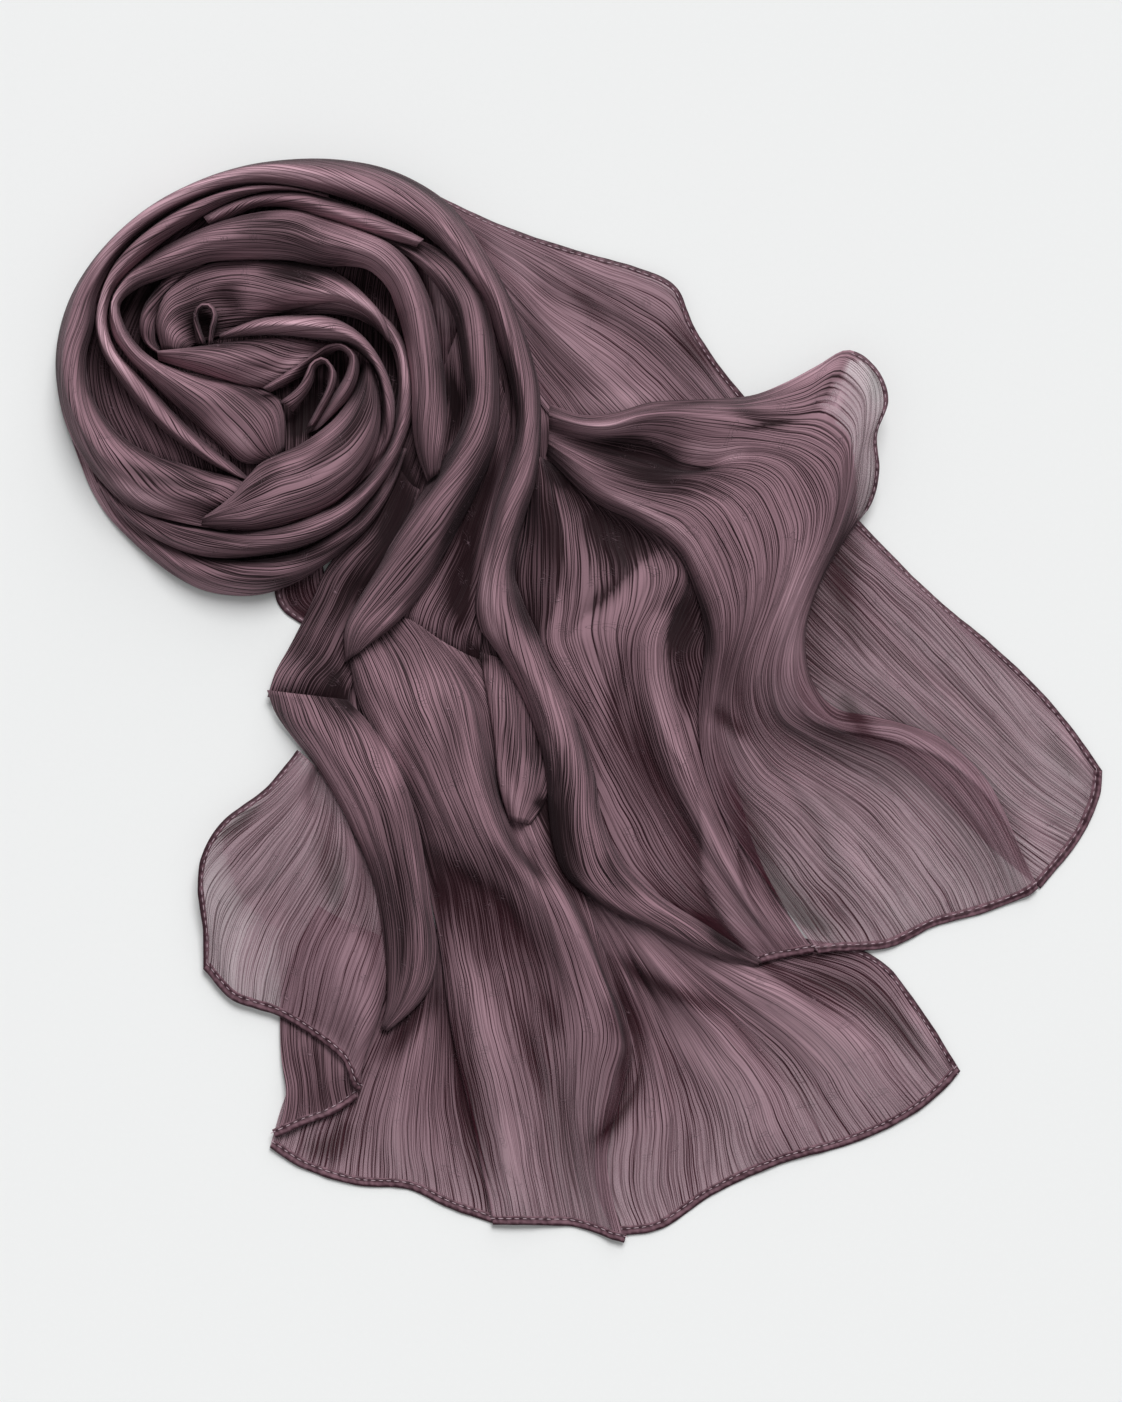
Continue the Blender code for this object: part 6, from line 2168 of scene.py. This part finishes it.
def stretches() -> list[Stretch]:
    """Return every stretch of cloth, lowest first, with its pleats.

    Returns:
        The stretches.
    """
    first, last, end = Side.FIRST, Side.LAST, Side.END
    folds, roll = Lay.FOLDS, Lay.ROLL
    wound: dict[str, Any] = {"cover": (0.97, 0.97), "gloom": 0.5}
    return [
        Stretch("hidden_layers", Lay.HEAP, 0.036, 11),
        Stretch("corner_tab", folds, 0.012, 7, (first,), cover=(0.8, 0.72)),
        Stretch("under_streams", folds, 0.03, 12, cover=(0.98, 0.98)),
        Stretch(
            "long_side", folds, 0.02, 22, (first, end), cover=(0.62, 0.36),
            pleats="0.12,0.9,5,0.03,0.05,0.5 0.3,0.8,4,0.03,0.3,0.95 0.46,1,5,0.03,0.35,0.9 "
            "0.6,0.8,4.5,0.03,0.45,0.98 0.75,0.9,5,0.03,0.5,0.98",
        ),
        Stretch(
            "lower_right", folds, 0.02, 12, (last, end), cover=(0.74, 0.44),
            pleats="0.18,1,5,0.03,0.1,0.9 0.34,0.9,4,0.03,0,0.8 0.5,1,5,0.03,0.1,0.95 "
            "0.66,0.8,4,0.03,0,0.8 0.82,0.8,4,0.03,0.2,0.9",
        ),
        Stretch(
            "lower_left", folds, 0.018, 10, (end,), cover=(0.86, 0.5),
            pleats="0.25,0.9,4,0.03,0.1,0.95 0.5,1,4,0.03,0,0.9 0.75,0.9,4,0.03,0.1,0.95",
        ),
        Stretch("left_middle", folds, 0.016, 8, (end,), cover=(0.88, 0.88)),
        Stretch(
            "valley_between", folds, 0.016, 9, cover=(0.93, 0.93),
            pleats="0.35,1.2,4,0.03,0.1,0.9 0.7,1,4,0.03,0.1,0.9",
        ),
        Stretch(
            "inner_right", folds, 0.014, 16, (end,), cover=(0.93, 0.6),
            pleats="0.2,0.9,4,0.03,0.1,0.9 0.45,1,4,0.03,0.1,0.95 0.7,0.9,4,0.03,0.2,0.95",
        ),
        Stretch(
            "sweep", folds, 0.014, 30, (end,), cover=(0.95, 0.34), part_hems=(first,),
            hem_span=(0.314, 0.49),
            pleats="0.18,0.9,4.5,0.03,0.05,0.95 0.36,1,5,0.03,0.1,0.98 "
            "0.54,0.9,4.5,0.03,0.05,0.95 0.72,1,5,0.03,0.1,0.98 0.88,0.8,4,0.03,0.1,0.9",
        ),
        Stretch(
            "left_upper", folds, 0.016, 11, cover=(0.96, 0.96), skew=0.1,
            pleats="0.3,0.8,3.5,0.04,0,1 0.65,0.8,3.5,0.04,0,1",
        ),
        Stretch(
            "lower_main", folds, 0.014, 17, (end,), cover=(0.97, 0.46),
            pleats="0.16,0.9,4,0.03,0.05,0.95 0.32,1,4.5,0.03,0.1,0.9 0.48,0.9,4,0.03,0.2,0.98 "
            "0.64,1,4.5,0.03,0.1,0.98 0.8,0.8,4,0.03,0.2,0.95",
        ),
        Stretch("bulge_roll", roll, 6, 8, cover=(0.96, 0.96), skew=0.2),
        Stretch(
            "left_flap", folds, 0.014, 11, (first, end), cover=(0.42, 0.5), gloom=0.4, skew=0.25,
            pleats="0.4,0.6,3.5,0.03,0.1,0.9 0.75,0.7,4,0.03,0.1,0.9",
        ),
        Stretch(
            "left_lower", roll, 7, 14, cover=(0.96, 0.96), skew=0.08,
            pleats="0.35,0.9,3,0.04,0.05,0.7 0.62,0.8,3,0.04,0.2,0.95",
        ),
        Stretch(
            "stream_left", roll, 7, 17, cover=(0.97, 0.97), skew=0.15,
            pleats="0.3,0.8,3,0.05,0,0.6 0.66,0.8,3,0.05,0.2,0.9",
        ),
        Stretch("coil_under_turn", roll, 6, 17, **wound, skew=0.15),
        Stretch(
            "coil_lower_turn", roll, 6, 22, **wound, skew=0.15,
            pleats="0.35,0.7,2.5,0.05,0.05,0.9 0.7,0.7,2.5,0.05,0.1,0.95",
        ),
        Stretch("coil_inner_edge", roll, 5, 9, **wound, skew=0.2),
        Stretch(
            "coil_inner_turn", roll, 7, 17, **wound, skew=0.25,
            pleats="0.35,0.8,3,0.05,0.1,0.9 0.68,0.7,3,0.05,0.1,0.8",
        ),
        Stretch("coil_third_turn", roll, 5, 10, **wound, skew=0.3),
        Stretch(
            "coil_wide_turn", roll, 7, 27, **wound, skew=0.12,
            pleats="0.28,0.9,3,0.05,0.05,0.6 0.52,0.8,3,0.05,0.2,0.95 0.75,0.8,3,0.05,0.4,0.98",
        ),
        Stretch(
            "coil_second_turn", roll, 6, 20, **wound, skew=0.2,
            pleats="0.35,0.7,2.5,0.05,0.05,0.9 0.68,0.7,2.5,0.05,0.2,0.95",
        ),
        Stretch(
            "outer_turn", roll, 7, 52, cover=(0.97, 0.95), skew=0.18,
            pleats="0.28,0.9,3,0.05,0.02,0.45 0.6,0.8,3,0.05,0.1,0.6 0.42,0.9,3,0.05,0.5,0.98 "
            "0.74,0.7,3,0.05,0.55,0.9",
        ),
        Stretch("coil_centre", roll, 6, 10, **wound, skew=-0.2),
        Stretch("core_loop_edge", roll, 5, 12, **wound),
        Stretch("coil_lip", roll, 6, 16, **wound, skew=0.35, pleats="0.5,0.6,2.5,0.05,0.1,0.9"),
        Stretch(
            "coil_front_turn", roll, 6, 13, **wound, skew=0.15,
            pleats="0.35,0.8,3,0.05,0.1,0.9 0.66,0.7,3,0.05,0.2,0.9",
        ),
        Stretch("loop_strand", roll, 5, 14, **wound, skew=0.1),
        Stretch("loop_inner", roll, 5, 12, **wound, skew=0.1),
    ]


# ---------------------------------------------------------------- listed in plan

# A line with a colon names the cloths that what follows it lies on. Each other line has the
# sizes of one thing and then the points "x,y" of its line in plan.

# Height in mm and width in plan units.
CREASES = """
hidden_layers:
11 10 420,254 433,277 443,305 449,334
long_side:
-2 8 500,235 545,258 585,285 630,308 685,337
1.6 10 565,262 620,274 668,292
-1.2 10 470,225 500,262 525,310 548,355
1.2 24 545,285 575,330 610,365 650,395
1.5 16 820,560 860,605 900,650 955,700 1010,740 1070,800
-1.2 12 850,600 905,655 960,700 1000,745 1040,800
sweep:
2 11 700,720 780,770 840,830 870,900 885,945
-2.2 10 740,740 800,800 830,870 845,940
-2 8 815,600 820,640 830,670 850,695 875,710
inner_right:
-2.2 9 630,640 615,700 610,760
2 10 665,600 655,650 655,700 665,750 690,800 700,840
2 9 700,840 715,880 735,920 765,965
lower_main:
-2.4 10 425,850 460,872 500,900 540,960
-2.6 10 500,985 520,1030 540,1080 550,1100
2 10 480,980 500,1050 505,1130 510,1215
lower_left:
-2 9 445,960 455,1010 465,1060 478,1100 490,1160 495,1205
lower_right:
-1.8 9 640,1010 670,1060 700,1120
-1.6 10 690,990 750,1040 800,1090 840,1140
left_flap:
-1.4 7 220,950 225,935 240,903 265,890 290,870
outer_turn:
-1.5 5 270,167 300,169 340,175 380,190 420,210 450,232 480,260 500,285
-1 5 150,455 190,475 225,498
valley_between:
1.5 6 455,648 465,635 478,622
"""

# Width in plan units and painted shading: painted light above zero, painted shade below.
STROKES = """
inner_right:
15 -0.46 533,490 540,545 541,600 533,640
22 -0.32 560,470 590,505 622,533 655,552
17 -0.48 625,690 640,740 668,795 690,845 700,885
15 0.42 600,765 625,810 650,855 668,895
14 -0.68 545,470 553,533 560,570 568,600
20 -0.68 582,512 612,540 645,566
17 -0.62 613,706 628,786 666,866 706,920
10 -0.64 612,548 622,578 604,600 585,618
9 -0.76 683,580 668,600 655,618
18 -0.64 680,620 678,650 672,665
8 -0.6 697,878 711,897 730,923
sweep:
15 -0.32 560,455 600,473 650,486 700,490 735,484
14 0.18 818,540 806,590 796,640 792,680
12 -1.1 722,835 742,868 765,893 795,920
26 0.12 720,470 770,500 800,540 800,590
24 0.2 640,408 690,418 740,436 790,450
12 0.48 555,425 600,436 640,438 680,455
11 -0.46 590,446 630,452 670,462 700,466
3 -0.06 838,425 849,450 853,480 855,512
17 -0.84 722,765 745,820 775,880 826,933
12 -0.72 600,462 650,480 700,493
9 -0.84 728,410 758,422 792,427
11 1 688,452 715,456 750,460
8 0.96 562,450 600,488 645,513 688,548 704,600
15 0.54 790,535 788,590 786,630 792,670
8 1 762,393 803,377 850,356
30 -0.16 800,790 860,840 920,880
14 0.56 890,785 927,820 955,858
5 1 846,386 835,404 820,418
3 -0.3 842,363 831,382 818,402 803,418
3 -0.78 803,420 775,426 742,431 715,424
8 -1.1 868,353 873,380 872,411
8 -0.84 712,705 730,724 748,739
8 -0.54 795,668 809,704 831,721 872,734 906,746
8 -0.54 807,780 831,806 847,830
14 0.74 690,438 690,454 696,472
hidden_layers under_streams:
15 1 425,255 440,285 450,325 453,370 452,400
14 1 424,250 438,280 448,322
hidden_layers:
16 0.92 110,350 128,400 160,435 205,465
13 1 150,380 200,430 255,465
coil_wide_turn:
9 0.54 330,268 360,272 385,290 396,320
11 -0.4 240,243 290,246 335,250
22 -0.58 222,384 248,405 274,432
11 -0.68 233,236 275,230 322,233
7 1 200,272 235,264 280,261 320,266
14 1 345,256 372,268 388,290 396,320
10 1 205,420 235,440 262,460
6 0.72 325,219 294,217 264,221
inner_right outer_turn:
9 -0.92 545,455 552,470 570,485
9 -0.7 511,586 522,615 535,645
9 -0.72 690,905 718,930 745,955
outer_turn inner_right lower_main bulge_roll:
9 -0.88 540,790 548,815 556,850 568,875 585,893 605,906
6 -1.1 532,800 545,806 552,820
sweep inner_right:
20 -0.42 718,590 724,640 735,690 765,728 800,752
9 -1.1 770,880 786,902 806,918 836,934
long_side:
17 -0.46 838,548 822,590 815,632 821,672 850,702
15 -0.92 855,533 842,586 852,625 880,655
12 -0.92 666,318 695,350 722,376
14 0.8 566,396 610,402 658,398
9 0.78 486,240 512,263 541,289
8 1 1058,718 1076,742 1088,768
14 0.54 1018,806 1036,826 1050,850
10 -0.56 1043,733 1060,757 1080,779
8 -0.6 569,289 592,310 611,322
8 -0.48 877,634 901,659 934,691
lower_main lower_left:
12 -0.84 443,965 452,1030 464,1085 478,1140 489,1192
lower_main:
12 -0.12 476,960 494,1020 507,1090 515,1150 520,1205
13 -0.46 538,1000 545,1055 556,1100 566,1160 580,1210
24 -0.48 437,866 472,893 508,925 536,965 556,1010
12 -0.56 430,855 437,900 440,945 441,985
19 -0.62 436,835 452,890 470,933 497,973
18 0.36 516,1100 522,1160 530,1205
9 0.92 504,806 520,832 534,858
12 -0.5 441,690 449,725 452,760 465,790
7 -0.6 490,838 508,865 525,888
9 -0.64 543,992 553,1015 558,1039
8 -0.72 607,991 615,1021 626,1044
lower_right:
13 0.18 607,930 660,968 715,995 770,1025 825,1075
12 -0.58 604,950 618,985 634,1015 645,1045
7 -0.34 755,968 800,959 850,955 880,962
9 -0.96 613,955 660,985 725,1012
15 -0.86 786,973 846,988 893,1020 933,1066
13 0.28 610,920 680,950 746,975 820,1018 885,1070
30 0.2 690,1060 740,1100 800,1110
8 0.94 603,905 640,922 690,938 745,952 800,960
15 0.66 668,1006 690,1040 730,1076
8 1 908,1002 926,1026 940,1052
14 0.38 750,1110 766,1133 776,1150
18 0.56 753,1001 792,1029 819,1052 869,1107
8 -0.52 712,940 760,963 798,990 848,1024
left_upper under_streams corner_tab:
42 -0.4 420,520 370,580 330,635 295,690
under_streams stream_left valley_between:
15 -0.3 468,500 455,545 447,590 440,630
valley_between:
18 -0.54 480,500 468,560 460,610 455,645
14 -0.28 470,550 464,595 466,630
left_lower:
12 -0.44 392,800 408,850 412,910 408,960 396,1000
15 -0.64 380,770 393,846 397,906 400,986
7 0.58 408,790 410,822 415,850 422,885 427,915
left_middle:
26 -0.26 290,1050 315,1085 330,1120
26 -0.22 253,1035 320,1072 286,1160
coil_third_turn:
7 0.4 440,252 420,243 408,238
6 0.62 200,224 212,218 225,212
left_upper left_lower:
18 -0.32 286,640 326,693 353,746
14 -0.3 316,628 314,665 324,698 355,724
9 -0.74 330,662 338,684 346,699 356,719
left_upper under_streams:
20 -0.5 405,466 362,573 303,630
outer_turn:
12 -0.98 556,740 561,790 568,840 586,887
11 -0.04 118,436 165,468 228,496
9 0.94 486,500 484,560 487,600 496,645
9 0.94 108,262 135,228 175,203 220,185 262,178 310,182 370,196 400,212
8 -0.84 118,462 150,477 190,488 225,492
9 -0.78 602,850 617,878 640,900
9 -0.68 705,936 742,947 759,957
lower_main lower_right:
11 -0.92 630,1035 624,1090 588,1150
lower_left lower_main:
11 -0.34 458,1066 466,1140 482,1215
lower_left:
12 -0.82 436,980 415,1020 373,1066
22 0.18 400,1080 410,1140 415,1180
14 -0.96 350,1118 330,1146 300,1152
left_flap:
12 -0.7 318,815 330,870 342,925
16 0.38 276,748 305,775 338,808
7 -1.06 262,800 238,824 212,840
22 0.62 268,905 258,940 250,975 240,1003
8 -0.72 339,832 343,858 340,880 331,903
coil_inner_turn:
13 -1.04 255,276 290,279 330,283
12 -0.22 170,300 190,322 226,335
coil_front_turn:
18 -0.5 280,430 335,405 372,370
8 -1.02 372,375 369,405 352,435 325,458 300,472
10 -0.62 285,462 262,488 240,508
7 0.66 356,397 344,416 330,434 317,446
coil_wide_turn under_streams:
11 -0.62 440,355 452,390 460,415
coil_under_turn:
9 -0.9 146,533 200,553 266,560 330,550 388,530
7 0.72 170,580 220,592 268,594
8 -0.68 387,491 363,520 342,539
coil_lower_turn coil_inner_turn hidden_layers:
10 1 285,306 330,303 368,310 392,328
outer_turn coil_under_turn:
9 1 58,395 70,440 86,480 122,535
outer_turn coil_second_turn hidden_layers:
8 0.8 122,238 106,280 104,320 112,350 146,385
outer_turn coil_lower_turn:
7 1 110,478 150,500 185,512 222,518
left_lower lower_main:
9 0.86 384,722 393,755 403,792
lower_main bulge_roll:
9 0.56 478,660 488,705 496,750 512,800 535,856
outer_turn inner_right:
11 0.5 556,635 566,680 575,725
coil_second_turn coil_wide_turn:
7 1 150,255 128,278 116,305 114,330 124,352 150,378 180,405
coil_wide_turn coil_centre:
8 1 150,356 185,370 225,382 262,390
coil_third_turn coil_wide_turn:
7 1 300,212 340,224 380,240 415,250
coil_lip:
7 1 245,338 280,331 320,332 352,342
coil_centre:
7 1 235,385 270,378 300,362 325,350
6 -0.68 180,352 220,350 270,351 300,352
coil_lower_turn coil_wide_turn:
6 0.94 384,312 404,345 411,385 410,425
outer_turn stream_left under_streams:
6 1 470,275 487,305 497,335 505,370
stream_left:
9 -0.46 436,262 452,285 462,310 468,338
10 -0.28 418,300 424,350 428,400 430,440
13 -0.5 437,511 420,547 402,576 366,623
10 -0.42 480,440 472,480 455,520 440,550
coil_inner_turn core_loop_edge coil_centre:
12 -0.86 192,305 205,325 222,338
coil_lower_turn:
7 -0.68 115,505 150,528 200,538 255,540 310,528
hidden_layers loop_inner:
8 -1.1 322,397 305,418 292,440
coil_inner_edge hidden_layers:
7 -1.1 168,288 152,300 143,318
stream_left under_streams valley_between:
8 -0.94 448,345 452,385 455,420 450,450
under_streams left_upper coil_under_turn:
12 -0.68 408,446 406,480 396,515 375,545
stream_left valley_between:
8 -0.96 500,445 490,478 474,515 462,548
valley_between bulge_roll:
9 -0.54 468,570 462,610 466,642 488,656
outer_turn bulge_roll:
7 1 484,620 498,648 514,680 528,712 538,745
sweep long_side:
9 0.94 552,420 575,430 610,430 640,420
9 -0.9 842,690 852,712 870,736
bulge_roll:
8 -0.5 500,690 508,730 515,770 522,795
left_lower left_flap:
9 0.78 292,728 320,755 338,785 354,818 368,870
coil_under_turn corner_tab:
8 -0.5 190,566 240,577 285,582 305,592
outer_turn coil_second_turn:
6 0.72 235,188 270,188 300,190 335,195
lower_main left_lower:
9 0.58 366,699 384,718 406,744
left_flap left_middle:
8 0.72 304,1025 338,1051 354,1077
coil_third_turn coil_second_turn hidden_layers:
6 0.68 238,214 208,223 181,236 159,250 143,262
left_upper corner_tab under_streams:
14 -0.66 306,575 300,600 292,625 281,656
lower_main bulge_roll valley_between:
8 -0.88 466,648 477,654 490,663
"""

# Height in mm, width and the painted shadow's width in plan units, and how dark the painted shadow
# is.
LAPS = """
inner_right:
2 20 26 0.38 548,462 556,500 563,540 562,575 556,605 547,630 538,650
2.2 22 34 0.55 684,720 673,692 666,660 667,630 674,608 690,588
1.8 18 20 0.25 668,543 640,566 612,595 585,618 562,648
1.6 16 28 0.3 648,700 668,745 695,790 702,840 703,880 722,920 752,955
1.2 15 13 0.36 768,938 750,905 738,870 736,830 727,785 706,745 688,705
sweep:
2 14 22 0.42 796,700 808,718 832,729 864,734 902,744 937,757 966,777 990,802 1010,832 1026,858 \
1038,882
1.6 16 14 0.3 548,410 575,418 610,419 650,410 690,404 740,404
1.6 18 12 0.3 545,437 590,440 640,438 680,462 720,468 745,455
lower_main lower_right:
2 20 9 0.75 588,1140 603,1129 621,1110 634,1086 638,1062 633,1038 622,1008 611,978
left_lower:
1.2 14 16 0.25 412,1000 424,940 420,880 404,820 388,770
lower_main:
1.2 14 14 0.22 505,740 514,790 525,835 545,880 570,925
"""

# Cover.
VEILS = """
left_flap:
0.26 190,790 223,838 228,860 240,895 260,915 280,930 282,960 280,1015 190,1015 180,900
sweep:
0.3 850,362 838,378 828,395 815,410 840,430 850,450 853,480 855,525 900,540 920,430 900,340
"""


def main() -> None:
    """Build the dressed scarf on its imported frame."""
    logging.basicConfig(level=logging.INFO, format="%(name)s: %(message)s")
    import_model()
    scarf = Scarf(
        stretches(),
        laid_by_hand(Crease, CREASES),
        laid_by_hand(Stroke, STROKES),
        laid_by_hand(Lap, LAPS),
        laid_by_hand(Veil, VEILS),
    )
    scarf.settle()
    scarf.dress()
    Studio().build(scarf.cloths[0].move)


if __name__ == "__main__":
    main()
